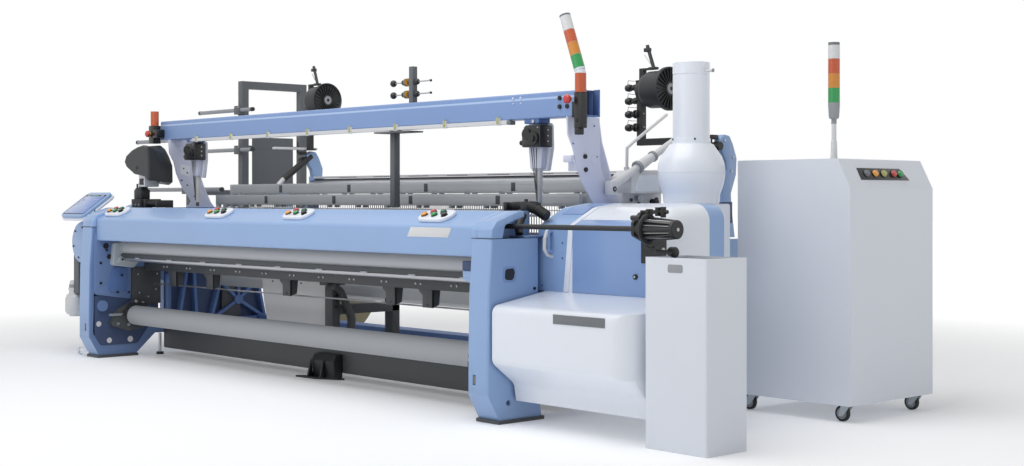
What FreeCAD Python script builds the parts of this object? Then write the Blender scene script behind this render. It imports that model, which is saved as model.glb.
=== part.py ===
import FreeCAD, Part
import math
import os

import Sketcher

# A shuttleless power loom with its control cabinet and waste bin.
# Millimetres, +Z up, +X to the weaver's right, +Y from the weaver to the warp beam.
# The frame origin lies on the floor under the middle of the whole outline.

os.makedirs("parts", exist_ok=True)
document = FreeCAD.newDocument("power_loom")
sheet = document.addObject("Spreadsheet::Sheet", "Sizes")
nodes = []
pockets = []


# ---------------------------------------------------------------- sizes that remember their cells
class Size:
    def __init__(self, value, text):
        self.value = value
        self.text = text

    def __add__(self, other):
        return joined(self, "+", other)

    def __radd__(self, other):
        return joined(other, "+", self)

    def __sub__(self, other):
        return joined(self, "-", other)

    def __rsub__(self, other):
        return joined(other, "-", self)

    def __mul__(self, other):
        return joined(self, "*", other)

    def __rmul__(self, other):
        return joined(other, "*", self)

    def __truediv__(self, other):
        return joined(self, "/", other)

    def __neg__(self):
        return joined(0, "-", self)


def sized(number):
    return number if isinstance(number, Size) else Size(number, f"({number!r})")


def joined(left, sign, right):
    left, right = sized(left), sized(right)
    value = {
        "+": left.value + right.value,
        "-": left.value - right.value,
        "*": left.value * right.value,
        "/": left.value / (right.value or 1),
    }[sign]
    return Size(value, f"({left.text} {sign} {right.text})")


def square_root(size):
    return Size(math.sqrt(size.value), f"sqrt({size.text})")


class Sheet:
    rows = 0


def cell(alias, value):
    Sheet.rows += 1
    sheet.set(f"A{Sheet.rows}", alias)
    sheet.set(f"B{Sheet.rows}", str(value))
    sheet.setAlias(f"B{Sheet.rows}", alias)
    return Size(value, f"Sizes.{alias}")


def bind(thing, name, size):
    thing.setExpression(name, sized(size).text)


# ---------------------------------------------------------------- driving sizes used by many pieces
middle_x = cell("middle_x", -42.5)        # the loom's own middle, seen from the frame origin
front_y = cell("front_y", -1142)           # the loom's front plane, seen from the frame origin
fit = cell("running_gap", 0.3)             # clearance between a turning or sliding piece and its seat
frame_gap = cell("frame_gap", 4000)        # clear width between the side frames
half = frame_gap / 2
frame_thick = cell("frame_thick", 150)     # front columns, measured across the loom
plate_thick = cell("plate_thick", 80)      # frame plates behind the columns
outer = half + frame_thick
pad_height = cell("pad_height", 18)
seam_height = cell("seam_height", 906)     # where the end caps sit on the columns
column_depth = cell("column_depth", 260)
top_height = cell("top_height", 1040)      # cover crest and the frames' middle rail
rail_height = top_height
cap_rise = top_height - seam_height


def place(thing, x, y, z, turn=None):
    thing.Placement = FreeCAD.Placement(FreeCAD.Vector(), turn or FreeCAD.Rotation())
    bind(thing, "Placement.Base.x", middle_x + x)
    bind(thing, "Placement.Base.y", front_y + y)
    bind(thing, "Placement.Base.z", z)


# ---------------------------------------------------------------- plain solids
def box(name, x, y, z, wide, deep, tall):
    block = document.addObject("Part::Box", name)
    bind(block, "Length", wide)
    bind(block, "Width", deep)
    bind(block, "Height", tall)
    place(block, x, y, z)
    return block


TURNS = {
    "X": FreeCAD.Rotation(FreeCAD.Vector(0, 1, 0), 90),
    "Y": FreeCAD.Rotation(FreeCAD.Vector(1, 0, 0), -90),
    "Z": FreeCAD.Rotation(),
}


def rod(name, axis, x, y, z, radius, length):
    bar = document.addObject("Part::Cylinder", name)
    bind(bar, "Radius", radius)
    bind(bar, "Height", length)
    place(bar, x, y, z, TURNS[axis])
    return bar


def leaning(name, x, y, z, radius, length, towards):
    bar = document.addObject("Part::Cylinder", name)
    bind(bar, "Radius", radius)
    bind(bar, "Height", length)
    place(bar, x, y, z, FreeCAD.Rotation(FreeCAD.Vector(0, 0, 1), FreeCAD.Vector(*towards)))
    return bar


def flat_bar(name, x, y, z, radius, length, towards=(1, 0, 0), sides=8):
    # a slim bar, a small knob or a lamp with flat sides
    bar = document.addObject("Part::Prism", name)
    bar.Polygon = sides
    bind(bar, "Circumradius", radius)
    bind(bar, "Height", length)
    place(bar, x, y, z, FreeCAD.Rotation(FreeCAD.Vector(0, 0, 1), FreeCAD.Vector(*towards)))
    return bar


def fused(name, pieces):
    union = document.addObject("Part::MultiFuse", name)
    union.Shapes = pieces
    return union


def cut(name, base, tool):
    result = document.addObject("Part::Cut", name)
    result.Base = base
    result.Tool = tool
    return result


def group(name, pieces):
    bundle = document.addObject("Part::Compound", name)
    bundle.Links = pieces
    return bundle


def mirrored(name, piece):
    twin = document.addObject("Part::Mirroring", name)
    twin.Source = piece
    twin.Normal = FreeCAD.Vector(1, 0, 0)
    bind(twin, "Base.x", middle_x)
    return twin


def node(name, piece):
    piece.Label = name
    nodes.append(piece)
    return piece


# ---------------------------------------------------------------- drawn outlines
def corner_points(corners):
    return [FreeCAD.Vector(sized(c[0]).value, sized(c[1]).value, 0) for c in corners]


def pin_point(drawing, geometry, position, across, up):
    for kind, size, axis in (("DistanceX", across, -2), ("DistanceY", up, -1)):
        if isinstance(size, (int, float)) and size == 0:
            drawing.addConstraint(Sketcher.Constraint("PointOnObject", geometry, position, axis))
            continue
        size = sized(size)
        index = drawing.addConstraint(
            Sketcher.Constraint(kind, -1, 1, geometry, position, size.value)
        )
        bind(drawing, f"Constraints[{index}]", size)


def rounded_corner(before, corner, after, radius):
    towards_before = (before - corner).normalize()
    towards_after = (after - corner).normalize()
    half_angle = towards_before.getAngle(towards_after) / 2
    reach = radius / math.tan(half_angle)
    middle = (towards_before + towards_after).normalize()
    centre = corner + middle * (radius / math.sin(half_angle))
    start = corner + towards_before * reach
    end = corner + towards_after * reach
    left_turn = (corner - before).cross(after - corner).z > 0
    return start, end, centre, left_turn


def draw(drawing, corners):
    points = corner_points(corners)
    count = len(points)
    starts, ends, arcs = [], [], {}
    for index, corner in enumerate(corners):
        here = points[index]
        if len(corner) == 2:
            starts.append(here)
            ends.append(here)
            continue
        radius = sized(corner[2])
        start, end, centre, left_turn = rounded_corner(
            points[index - 1], here, points[(index + 1) % count], radius.value
        )
        first, last = (start, end) if left_turn else (end, start)
        angles = [math.atan2(p.y - centre.y, p.x - centre.x) for p in (first, last)]
        circle = Part.Circle(centre, FreeCAD.Vector(0, 0, 1), radius.value)
        arc = drawing.addGeometry(Part.ArcOfCircle(circle, angles[0], angles[1]), False)
        arcs[index] = (arc, (1, 2) if left_turn else (2, 1), radius)
        starts.append(start)
        ends.append(end)
    lines = []
    for index in range(count):
        following = (index + 1) % count
        line = Part.LineSegment(ends[index], starts[following])
        lines.append(drawing.addGeometry(line, False))
    for index, corner in enumerate(corners):
        before, after = lines[index - 1], lines[index]
        if index not in arcs:
            drawing.addConstraint(Sketcher.Constraint("Coincident", before, 2, after, 1))
            pin_point(drawing, after, 1, corner[0], corner[1])
            continue
        arc, (first, last), radius = arcs[index]
        drawing.addConstraint(Sketcher.Constraint("Tangent", before, 2, arc, first))
        drawing.addConstraint(Sketcher.Constraint("Tangent", arc, last, after, 1))
        number = drawing.addConstraint(Sketcher.Constraint("Radius", arc, radius.value))
        bind(drawing, f"Constraints[{number}]", radius)
        point = drawing.addGeometry(Part.Point(points[index]), True)
        drawing.addConstraint(Sketcher.Constraint("PointOnObject", point, 1, before))
        drawing.addConstraint(Sketcher.Constraint("PointOnObject", point, 1, after))
        pin_point(drawing, point, 1, corner[0], corner[1])


def draw_circle(drawing, across, up, radius):
    centre = FreeCAD.Vector(sized(across).value, sized(up).value, 0)
    circle = Part.Circle(centre, FreeCAD.Vector(0, 0, 1), sized(radius).value)
    number = drawing.addGeometry(circle, False)
    pin_point(drawing, number, 3, across, up)
    index = drawing.addConstraint(Sketcher.Constraint("Radius", number, sized(radius).value))
    bind(drawing, f"Constraints[{index}]", radius)


def new_body(name, x=0, y=0, z=0, turn=None):
    body = document.addObject("PartDesign::Body", name)
    place(body, x, y, z, turn)
    return body


def new_drawing(body, plane, start=0):
    drawing = body.newObject("Sketcher::SketchObject", f"{body.Name}_drawing")
    planes = body.Origin.OriginFeatures
    drawing.AttachmentSupport = [(next(p for p in planes if p.Role == f"{plane}_Plane"), "")]
    drawing.MapMode = "FlatFace"
    bind(drawing, "AttachmentOffset.Base.z", -sized(start) if plane == "XZ" else start)
    return drawing


def draw_loops(drawing, loops):
    for loop in loops:
        if isinstance(loop, tuple):
            draw_circle(drawing, *loop)
        else:
            draw(drawing, loop)


# Both steps run from start along the plane's rising axis.
def add_block(body, plane, start, length, *loops):
    drawing = new_drawing(body, plane, start)
    draw_loops(drawing, loops)
    step = body.newObject("PartDesign::Pad", f"{body.Name}_pad")
    step.Profile = drawing
    step.Reversed = plane == "XZ"
    bind(step, "Length", length)
    return step


def sink(body, plane, start, length, *loops):
    drawing = new_drawing(body, plane, start)
    draw_loops(drawing, loops)
    step = body.newObject("PartDesign::Pocket", f"{body.Name}_pocket")
    step.Profile = drawing
    step.Reversed = plane != "XZ"
    bind(step, "Length", length)
    pockets.append(step)
    return step


def block(name, plane, start, length, *loops):
    body = new_body(name)
    add_block(body, plane, start, length, *loops)
    return body


def bevelled(outline):
    # a corner's third value is how much is cut off it along each side
    points = corner_points(outline)
    result = []
    for index, corner in enumerate(outline):
        if len(corner) == 2:
            result.append(corner)
            continue
        along, radius, bevel = (sized(value) for value in corner)
        for neighbour in (index - 1, (index + 1) % len(outline)):
            way = (points[neighbour] - points[index]).normalize()
            result.append((along + bevel * round(way.x, 6), radius + bevel * round(way.y, 6)))
    return result


def turned(name, axis, x, y, z, outline):
    # The outline runs along the axis first and gives the radius second.
    outline = bevelled(outline)
    body = new_body(name, x, y, z)
    drawing = new_drawing(body, "YZ" if axis == "Y" else "XZ")
    if axis == "Z":
        draw(drawing, [(radius, along) for along, radius in outline])
    else:
        draw(drawing, outline)
    step = body.newObject("PartDesign::Revolution", f"{name}_turn")
    step.Profile = drawing
    step.ReferenceAxis = (drawing, ["V_Axis" if axis == "Z" else "H_Axis"])
    step.Angle = 360
    return body


def soften(body, radius, chosen):
    document.recompute()
    base = body.Tip
    edges = [f"Edge{i}" for i, edge in enumerate(base.Shape.Edges, 1) if chosen(edge.BoundBox)]
    if not edges:
        raise RuntimeError(f"{body.Name}: no edge to round")
    step = body.newObject("PartDesign::Fillet", f"{body.Name}_fillet")
    step.Base = (base, edges)
    bind(step, "Radius", radius)
    return step


def flats(across, up, radius, count=8):
    # the outline of a small knob, hole or wheel, its flats as far out as the radius
    reach = 1 / math.cos(math.pi / count)
    corners = []
    for step in range(count):
        angle = math.tau * (step + 0.5) / count
        corners.append((
            across + radius * round(reach * math.cos(angle), 6),
            up + radius * round(reach * math.sin(angle), 6),
        ))
    return corners


def rectangle(left, low, wide, tall, radius=None):
    corners = [(left, low), (left + wide, low), (left + wide, low + tall), (left, low + tall)]
    return [(*c, radius) for c in corners] if radius is not None else corners


# ---------------------------------------------------------------- roller places, shared with their seats
take_up_y = cell("take_up_y", 215)
take_up_z = cell("take_up_z", 765)
take_up_radius = cell("take_up_radius", 75)
press_radius = cell("press_radius", 17)
press_offset = cell("press_offset", 45)
press_y = take_up_y - press_offset
press_reach = take_up_radius + press_radius + fit
press_z = take_up_z - square_root(press_reach * press_reach - press_offset * press_offset)
cloth_y = cell("cloth_roller_y", 235)
cloth_z = cell("cloth_roller_z", 290)
cloth_radius = cell("cloth_roller_radius", 67)
sley_y = cell("sley_shaft_y", 600)
sley_z = cell("sley_shaft_z", 620)
sley_radius = cell("sley_shaft_radius", 42)
warp_y = cell("warp_beam_y", 1960)
warp_z = cell("warp_beam_z", 425)
back_y = cell("back_rest_y", 1800)
back_z = cell("back_rest_z", 1200)
back_radius = cell("back_rest_radius", 55)
journal = cell("journal_radius", 22)
seat_depth = cell("seat_depth", 40)        # how far each journal runs into its seat
heald_y = cell("heald_first_y", 840)
heald_pitch = cell("heald_pitch", 60)
heald_thick = cell("heald_thick", 26)
heald_reach = half - cell("heald_side_gap", 140)
wheel_y = cell("rapier_wheel_y", 520)
wheel_z = cell("rapier_wheel_z", 790)
wheel_x = half + plate_thick + cell("rapier_wheel_offset", 360)
wheel_radius = cell("rapier_wheel_radius", 240)
wheel_thick = cell("rapier_wheel_thick", 24)
wheel_axle = cell("rapier_axle_radius", 18)


# ---------------------------------------------------------------- side frames
def side_frames():
    foot_back = cell("foot_back", 285)
    low = cell("frame_underside", 150)
    back = cell("frame_back", 2110)
    step_height = cell("rear_rail_height", 870)
    web = cell("column_web", 22)
    edge = cell("column_edge_radius", 14)
    frame = block(
        "right_frame", "YZ", half, frame_thick,
        [
            (0, pad_height), (-75, 150), (-75, 350), (-70, 630), (-49, seam_height),
            (column_depth, seam_height), (column_depth, low), (foot_back, pad_height),
        ],
    )
    add_block(
        frame, "YZ", half, plate_thick,
        [
            (180, pad_height), (foot_back, pad_height), (430, low), (1600, low),
            (1690, pad_height), (2060, pad_height), (back, 250), (back, 700),
            (2020, step_height), (1330, step_height), (1150, rail_height),
            (560, rail_height), (420, seam_height), (180, seam_height),
        ],
    )
    inner_corner = cell("column_recess_radius", 30)
    recess_top = seam_height - cell("column_recess_drop", 46)
    sink(
        frame, "YZ", half, frame_thick - web,
        [
            (-45, 150, inner_corner), (110, 150), (110, recess_top),
            (-30, recess_top, inner_corner),
        ],
    )
    window = cell("window_corner", 40)
    sink(
        frame, "YZ", half, plate_thick,
        bevelled([(340, 230), (520, 230, window), (500, 520), (340, 560, window)]),
        bevelled([(700, 230, window), (1080, 230), (1080, 560, window), (760, 560)]),
        bevelled([(1180, 230, window), (1560, 230), (1500, 760, window), (1180, 760)]),
        rectangle(700, 640, 380, 250),
    )
    # the cast bracket and the axle of the rapier wheel
    bracket = cell("rapier_bracket", 60)
    inside = 5
    add_block(frame, "XZ", wheel_y + wheel_thick, bracket,
              rectangle(half + plate_thick - inside, wheel_z - bracket,
                        wheel_x - half - plate_thick + inside + bracket, bracket * 2))
    add_block(frame, "XZ", wheel_y - wheel_thick, wheel_thick * 2 + inside,
              (wheel_x, wheel_z, wheel_axle))
    # seats for the journals, blind from the inner face
    sink(
        frame, "YZ", half, seat_depth,
        (take_up_y, take_up_z, journal + fit),
        (press_y, press_z, press_radius + fit),
        (sley_y, sley_z, sley_radius + fit),
        (warp_y, warp_z, journal * 2 + fit),
    )
    # through holes low in the foot, and the square hand recess on the outer face
    hole = cell("foot_hole_radius", 14)
    sink(frame, "YZ", half, frame_thick, flats(165, 114, hole), flats(61, 100, hole))
    recess = cell("hand_recess_depth", 25)
    sink(frame, "YZ", outer - recess, recess, rectangle(30, 697, 75, 65))
    sink(frame, "XZ", -80, recess, rectangle(half + 40, 190, 22, 50))
    soften(frame, edge, lambda box: box.YMax < -40 and box.XLength < 1 and box.ZLength > 60)
    # the guide in which the heald frames slide
    guide_low = cell("heald_guide_low", 620)
    guide_tall = cell("heald_guide_tall", 360)
    hold = cell("heald_guide_hold", 25)
    guide_left = heald_reach - hold
    add_block(
        frame, "XY", guide_low, guide_tall,
        rectangle(guide_left, heald_y - 40, half - guide_left + 5, heald_pitch * 3 + heald_thick + 80),
    )
    grooves = [
        rectangle(guide_left, heald_y + heald_pitch * number - fit, hold + fit, heald_thick + fit * 2)
        for number in range(4)
    ]
    sink(frame, "XY", guide_low, guide_tall, *grooves)
    node("right_frame", frame)
    node("left_frame", mirrored("left_frame_twin", frame))


def feet():
    spread = cell("pad_overhang", 10)
    pads = []
    for side, x in (("left", -outer - spread), ("right", half - spread)):
        for name, y, deep in (("front", -spread, 305), ("rear", 1680, 390)):
            wide = frame_thick + 2 * spread
            pads.append(box(f"{side}_{name}_pad", x, y, 0, wide, deep, pad_height))
    foot_y = cell("centre_foot_y", 330)
    plate = cell("foot_plate_thick", 12)
    foot = block(
        "centre_foot", "YZ", -160, 150,
        [
            (foot_y, 0), (beam_front, 0), (beam_front, 175), (beam_front - plate, 175),
            (beam_front - plate - 60, 90), (foot_y + 40, plate), (foot_y, plate),
        ],
    )
    node("frame_feet", group("frame_feet", pads + [foot]))


beam_front = cell("crossbeam_front", 500)
beam_depth = cell("crossbeam_depth", 150)
beam_low = cell("crossbeam_low", 40)
beam_tall = cell("crossbeam_tall", 160)


def crossbeams():
    wall = cell("crossbeam_wall", 12)
    front = block(
        "front_crossbeam", "YZ", -half, frame_gap,
        [
            (beam_front, beam_low, 10), (beam_front + beam_depth, beam_low),
            (beam_front + beam_depth, beam_low + beam_tall),
            (beam_front, beam_low + beam_tall, 10),
        ],
    )
    node("front_crossbeam", front)
    rear_y = cell("rear_crossbeam_y", 1250)
    rear_z = cell("rear_crossbeam_z", 170)
    channel = block(
        "rear_crossbeam", "YZ", -half, frame_gap,
        [
            (rear_y, rear_z), (rear_y + 140, rear_z), (rear_y + 140, rear_z + wall),
            (rear_y + wall, rear_z + wall), (rear_y + wall, rear_z + 180 - wall),
            (rear_y + 140, rear_z + 180 - wall), (rear_y + 140, rear_z + 180),
            (rear_y, rear_z + 180),
        ],
    )
    node("rear_crossbeam", channel)
    # the stand under the middle of the sley shaft, tied to both crossbeams
    wide = cell("stand_width", 80)
    post_deep = cell("stand_post_depth", 60)
    left = -wide * 1.5
    top = beam_low + beam_tall
    front_post = box("stand_front_post", left, sley_y - post_deep / 2, top, wide, post_deep,
                     sley_z - sley_radius - fit - top - 12)
    saddle = block(
        "stand_saddle", "YZ", left, wide,
        [
            (sley_y - 70, sley_z - sley_radius - 14), (sley_y + 70, sley_z - sley_radius - 14),
            (sley_y + 70, sley_z + 6), (sley_y - 70, sley_z + 6),
        ],
    )
    sink(saddle, "YZ", left, wide, (sley_y, sley_z + 6, sley_radius + fit + 6))
    tie = box("stand_tie", left, sley_y, 380, wide, rear_y - sley_y, 60)
    rear_post = box("stand_rear_post", left, rear_y - post_deep, rear_z, wide, post_deep, 400)
    panel = box("stand_panel", left - 700, sley_y + 40, 300, 700, 4, 270)
    stand = fused("centre_stand", [front_post, saddle, tie, rear_post, panel])
    node("centre_stand", stand)


def breast_beam():
    low = cell("breast_beam_low", 600)
    tall = cell("breast_beam_tall", 100)
    front = cell("breast_beam_front", 345)
    deep = cell("breast_beam_depth", 90)
    thick = cell("bracket_thick", 10)
    beam = box("breast_beam_box", -half, front, low, frame_gap, deep, tall)
    pieces = [beam]
    pitch = cell("bracket_pitch", 620)
    for number in range(-3, 4):
        bracket = block(
            f"beam_bracket_{number + 3}", "YZ", number * pitch - 40, 80,
            [
                (front + thick, low + 10), (front + thick, low - 60), (front + 70, low - 95),
                (front + 70, low - 95 - thick), (front, low - 70), (front, low + 10),
            ],
        )
        pieces.append(bracket)
    node("breast_beam", fused("breast_beam", pieces))


# ---------------------------------------------------------------- front cover, end caps and button pods
cover_front = cell("cover_front", -20)
crease = top_height - cell("cover_slope_rise", 78)
cover_low = crease - cell("cover_face_tall", 172)
crest_y = cell("cover_crest_y", 140)
cover_back = cell("cover_back", 300)
waste_y = cell("waste_shaft_y", 100)
waste_z = seam_height + cap_rise * cell("waste_shaft_share", 0.44)
waste_radius = cell("waste_shaft_radius", 11)
waste_flange = cell("waste_flange_radius", 72)


def covers_in_front():
    sheet_thick = cell("cover_sheet", 5)
    bend = cell("cover_bend", 28)
    inside = bend - sheet_thick
    lip = cell("cover_lip_y", 70)
    cover = block(
        "front_cover", "YZ", -half, frame_gap,
        [
            (lip, cover_low), (cover_front, cover_low, 12), (cover_front, crease, bend),
            (crest_y, top_height, bend), (cover_back, top_height), (cover_back, top_height - 40),
            (cover_back - sheet_thick, top_height - 40),
            (cover_back - sheet_thick, top_height - sheet_thick),
            (crest_y + 1, top_height - sheet_thick, inside),
            (cover_front + sheet_thick, crease - 3, inside),
            (cover_front + sheet_thick, cover_low + sheet_thick, 7),
            (lip, cover_low + sheet_thick),
        ],
    )
    node("front_cover", cover)
    cap_outline = [
        (-49, seam_height), (-47, seam_height + cap_rise * 0.33),
        (-15, seam_height + cap_rise * 0.63), (crest_y, top_height),
        (cover_back, top_height), (cover_back, seam_height),
    ]
    roof = cap_rise * 0.27                 # what the cut-out leaves over itself
    shoulder = top_height - roof
    caps = []
    for name in ("right_cover_cap", "left_cover_cap"):
        cap = block(name, "YZ", half, frame_thick, cap_outline)
        if name == "right_cover_cap":
            sink(
                cap, "YZ", half + 40, frame_thick,
                [
                    (26, seam_height - 1), (59, seam_height + cap_rise * 0.48),
                    (130, shoulder), (cover_back + 1, shoulder),
                    (cover_back + 1, seam_height - 1),
                ],
            )
            sink(cap, "YZ", half + 10, 40, (waste_y, waste_z, waste_radius + fit))
        rim = outer.value - 1
        crown = top_height.value - 1
        soften(cap, roof / 3, lambda box: box.XLength < 1 and box.ZMin > crown and box.XMin > rim)
        caps.append(cap)
    twin = mirrored("left_cover_cap_twin", caps[1])
    node("cover_end_caps", group("cover_end_caps", [caps[0], twin]))


def button_pods():
    long = cell("pod_length", 250)
    deep = cell("pod_depth", 116)
    tall = cell("pod_height", 20)
    button = cell("pod_button_radius", 16)
    button_tall = cell("pod_button_height", 32)
    pod_y = cell("pod_y", 66)
    rise = (top_height - crease) / (crest_y - cover_front)
    slope = math.degrees(math.atan(rise.value))
    turn = FreeCAD.Rotation(FreeCAD.Vector(1, 0, 0), slope)
    pods = []
    for number, x in enumerate((-1850, -530, 340, 1600)):
        body = new_body(f"button_pod_{number + 1}", x, pod_y,
                        crease + (pod_y - cover_front) * rise, turn)
        oval = rectangle(-long / 2, -deep / 2, long, deep, deep * 0.35)
        add_block(body, "XY", 0, tall, bevelled(oval))
        spots = [
            flats(long * (0.16 * index - 0.32), deep * (0.16 if index % 2 else -0.12), button)
            for index in range(5)
        ]
        add_block(body, "XY", tall / 2, button_tall - tall / 2, *spots)
        pods.append(body)
    node("button_pods", group("button_pods", pods))


# ---------------------------------------------------------------- rollers and beams
def barrel(name, y, z, radius, reach, stub, stub_radius):
    # a plain roller with a stub journal at each end
    return turned(
        name, "X", 0, y, z,
        [
            (-reach - stub, 0), (-reach - stub, stub_radius), (-reach, stub_radius),
            (-reach, radius), (reach, radius), (reach, stub_radius),
            (reach + stub, stub_radius), (reach + stub, 0),
        ],
    )


def rollers():
    side = cell("roller_side_gap", 70)
    into = seat_depth - fit
    reach = half - side
    node("take_up_roller", barrel("take_up_roller", take_up_y, take_up_z, take_up_radius,
                                  reach, side + into, journal))
    tip = half + into
    node("press_roller", rod("press_roller", "X", -tip, press_y, press_z, press_radius, tip * 2))
    hold = cell("roller_bracket_width", 50)
    node("cloth_roller", barrel("cloth_roller", cloth_y, cloth_z, cloth_radius,
                                half - hold - 30, 30 + hold - 5, journal))
    brackets = []
    for name in ("right_roller_bracket", "left_roller_bracket"):
        bracket = block(
            name, "YZ", half - hold, hold,
            [
                (cloth_y - 95, cloth_z - 70), (cloth_y + 110, cloth_z - 70),
                (cloth_y + 110, cloth_z + 25), (cloth_y + 70, cloth_z + 60, 20),
                (cloth_y - 95, cloth_z + 40),
            ],
        )
        sink(bracket, "YZ", half - hold, hold - 4, (cloth_y, cloth_z, journal + fit))
        brackets.append(bracket)
    twin = mirrored("left_roller_bracket_mirrored", brackets[1])
    node("roller_brackets", group("roller_brackets", [brackets[0], twin]))


def warp_beam():
    flange = cell("warp_flange_radius", 400)
    core = cell("warp_core_radius", 90)
    thick = cell("warp_flange_thick", 16)
    side = cell("warp_side_gap", 55)
    out = half - side
    stub = side + seat_depth - fit
    node("warp_beam", turned(
        "warp_beam", "X", 0, warp_y, warp_z,
        [
            (-out - stub, 0), (-out - stub, journal * 2), (-out, journal * 2),
            (-out, flange), (-out + thick, flange), (-out + thick, core),
            (out - thick, core), (out - thick, flange), (out, flange), (out, journal * 2),
            (out + stub, journal * 2), (out + stub, 0),
        ],
    ))


arm_thick = cell("back_arm_thick", 55)
arm_top = cell("back_arm_top", 1475)


def back_rest():
    arm = block(
        "right_back_arm", "YZ", half, arm_thick,
        [
            (1690, 870), (1900, 870), (1890, 1060), (1960, 1240, 120), (1900, arm_top),
            (1770, arm_top), (1740, arm_top - 55), (1810, 1300, 80), (1740, 1150, 60),
        ],
    )
    foot = box("right_arm_foot", half, 1680, 870, plate_thick, 230, 12)
    seat = rod("right_arm_seat", "X", half, back_y, back_z, journal + fit, seat_depth)
    stub = box("right_arm_stub", half - 60, 1832, 1372, 60, 56, 56)
    right = cut("right_back_arm_cut", fused("right_back_arm_union", [arm, foot, stub]), seat)
    node("back_rest_arms", group("back_rest_arms", [right, mirrored("left_back_arm", right)]))
    node("back_rest_roller", barrel("back_rest_roller", back_y, back_z, back_radius,
                                    half - fit, seat_depth - 1, journal))


# ---------------------------------------------------------------- sley, reed and heald frames
def sley():
    sword_thick = cell("sword_thick", 24)
    race_low = cell("race_low", 850)
    race_y = cell("race_y", 500)
    race_deep = cell("race_depth", 70)
    race_tall = cell("race_tall", 60)
    inset = cell("sley_side_gap", 60)
    reach = half - inset
    into = half + seat_depth - fit
    shaft = rod("sley_shaft", "X", -into, sley_y, sley_z, sley_radius, into * 2)
    race = box("sley_race", -reach, race_y, race_low, reach * 2, race_deep, race_tall)
    pieces = [shaft, race]
    swords = cell("sword_count", 4)
    count = int(swords.value)
    pitch = (reach * 2 - 200) / (swords - 1)
    for number in range(count):
        x = -reach + 100 - sword_thick / 2 + pitch * number
        sword = block(
            f"sley_sword_{number + 1}", "YZ", x, sword_thick,
            [
                (sley_y - 55, sley_z - 20), (sley_y + 55, sley_z - 20),
                (sley_y + 50, sley_z + 60), (race_y + race_deep, race_low + 5),
                (race_y + 5, race_low + 5), (sley_y - 50, sley_z + 60),
            ],
        )
        pieces.append(sword)
    node("sley", fused("sley", pieces))
    wire_low = race_low + race_tall
    reed_tall = cell("reed_tall", 110)
    reed_thick = cell("reed_thick", 8)
    band = cell("reed_band", 14)
    reed_y = race_y + 20
    dents = cell("reed_panels", 24)
    reed = block("reed_frame", "XZ", reed_y, reed_thick,
                 rectangle(-reach, wire_low, reach * 2, reed_tall))
    pane = (reach * 2 - band * (dents + 1)) / dents
    sink(reed, "XZ", reed_y, reed_thick,
         rectangle(-reach + band, wire_low + band, pane, reed_tall - band * 2))
    opening = reed.Tip
    pattern = reed.newObject("PartDesign::LinearPattern", "reed_panels")
    pattern.Originals = [opening]
    pattern.Direction = (opening.Profile[0], ["H_Axis"])
    bind(pattern, "Length", (pane + band) * (dents - 1))
    bind(pattern, "Occurrences", dents)
    reed.Tip = pattern
    node("reed", reed)


def heald_frames():
    low = cell("heald_low", 480)
    tall = cell("heald_tall", 650)
    rail = cell("heald_rail_tall", 70)
    stile = cell("heald_stile", 40)
    lift = cell("heald_shed", 75)
    for number in range(4):
        base = low + (lift if number > 1 else 0)
        y = heald_y + heald_pitch * number
        name = f"heald_frame_{number + 1}"
        pieces = []
        for label, z in (("lower", base), ("upper", base + tall - rail)):
            pieces.append(box(f"{name}_{label}_rail", -heald_reach, y, z,
                              heald_reach * 2, heald_thick, rail))
        for label, x in (("left", -heald_reach), ("right", heald_reach - stile)):
            pieces.append(box(f"{name}_{label}_stile", x, y, base + rail,
                              stile, heald_thick, tall - rail * 2))
        node(name, group(name, pieces))


# ---------------------------------------------------------------- overhead beam and what hangs on it
lintel_y = cell("overhead_beam_y", 560)
lintel_low = cell("overhead_beam_low", 1525)
lintel_tall = cell("overhead_beam_tall", 135)
lintel_deep = cell("overhead_beam_depth", 100)
lintel_reach = outer


def overhead():
    beam = block(
        "overhead_beam", "YZ", -lintel_reach, lintel_reach * 2,
        rectangle(lintel_y, lintel_low, lintel_deep, lintel_tall, 8),
    )
    for start in (-lintel_reach, lintel_reach - 30):
        sink(beam, "YZ", start, 30,
             rectangle(lintel_y + 8, lintel_low + 8, lintel_deep - 16, lintel_tall - 16))
    node("overhead_beam", beam)
    thick = cell("upright_thick", 90)
    inset = cell("upright_inset", 20)
    upright = block(
        "right_upright", "YZ", half + inset, thick,
        [
            (500, lintel_low), (500, 1500), (545, 1360), (590, rail_height + 160, 120),
            (680, rail_height), (930, rail_height), (860, rail_height + 90),
            (785, rail_height + 175, 80),
            (785, 1400), (750, 1440), (750, lintel_low),
        ],
    )
    node("uprights", group("uprights", [upright, mirrored("left_upright", upright)]))
    rail_left = cell("lamp_rail_left", -1700)
    rail_long = cell("lamp_rail_length", 3300)
    rail = box("lamp_rail_bar", rail_left, lintel_y - 8, lintel_low - 22, rail_long, 40, 22)
    clip_count = 8
    clip_wide = cell("lamp_clip_width", 30)
    pitch = (rail_long - 136) / (clip_count - 1)
    clips = []
    for number in range(clip_count):
        x = rail_left + 63 - clip_wide / 2 + pitch * number
        clips.append(box(f"lamp_clip_{number + 1}", x, lintel_y - 14, lintel_low - 26,
                         clip_wide, 14, 40))
    node("lamp_rail", fused("lamp_rail", [rail] + clips))


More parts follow.
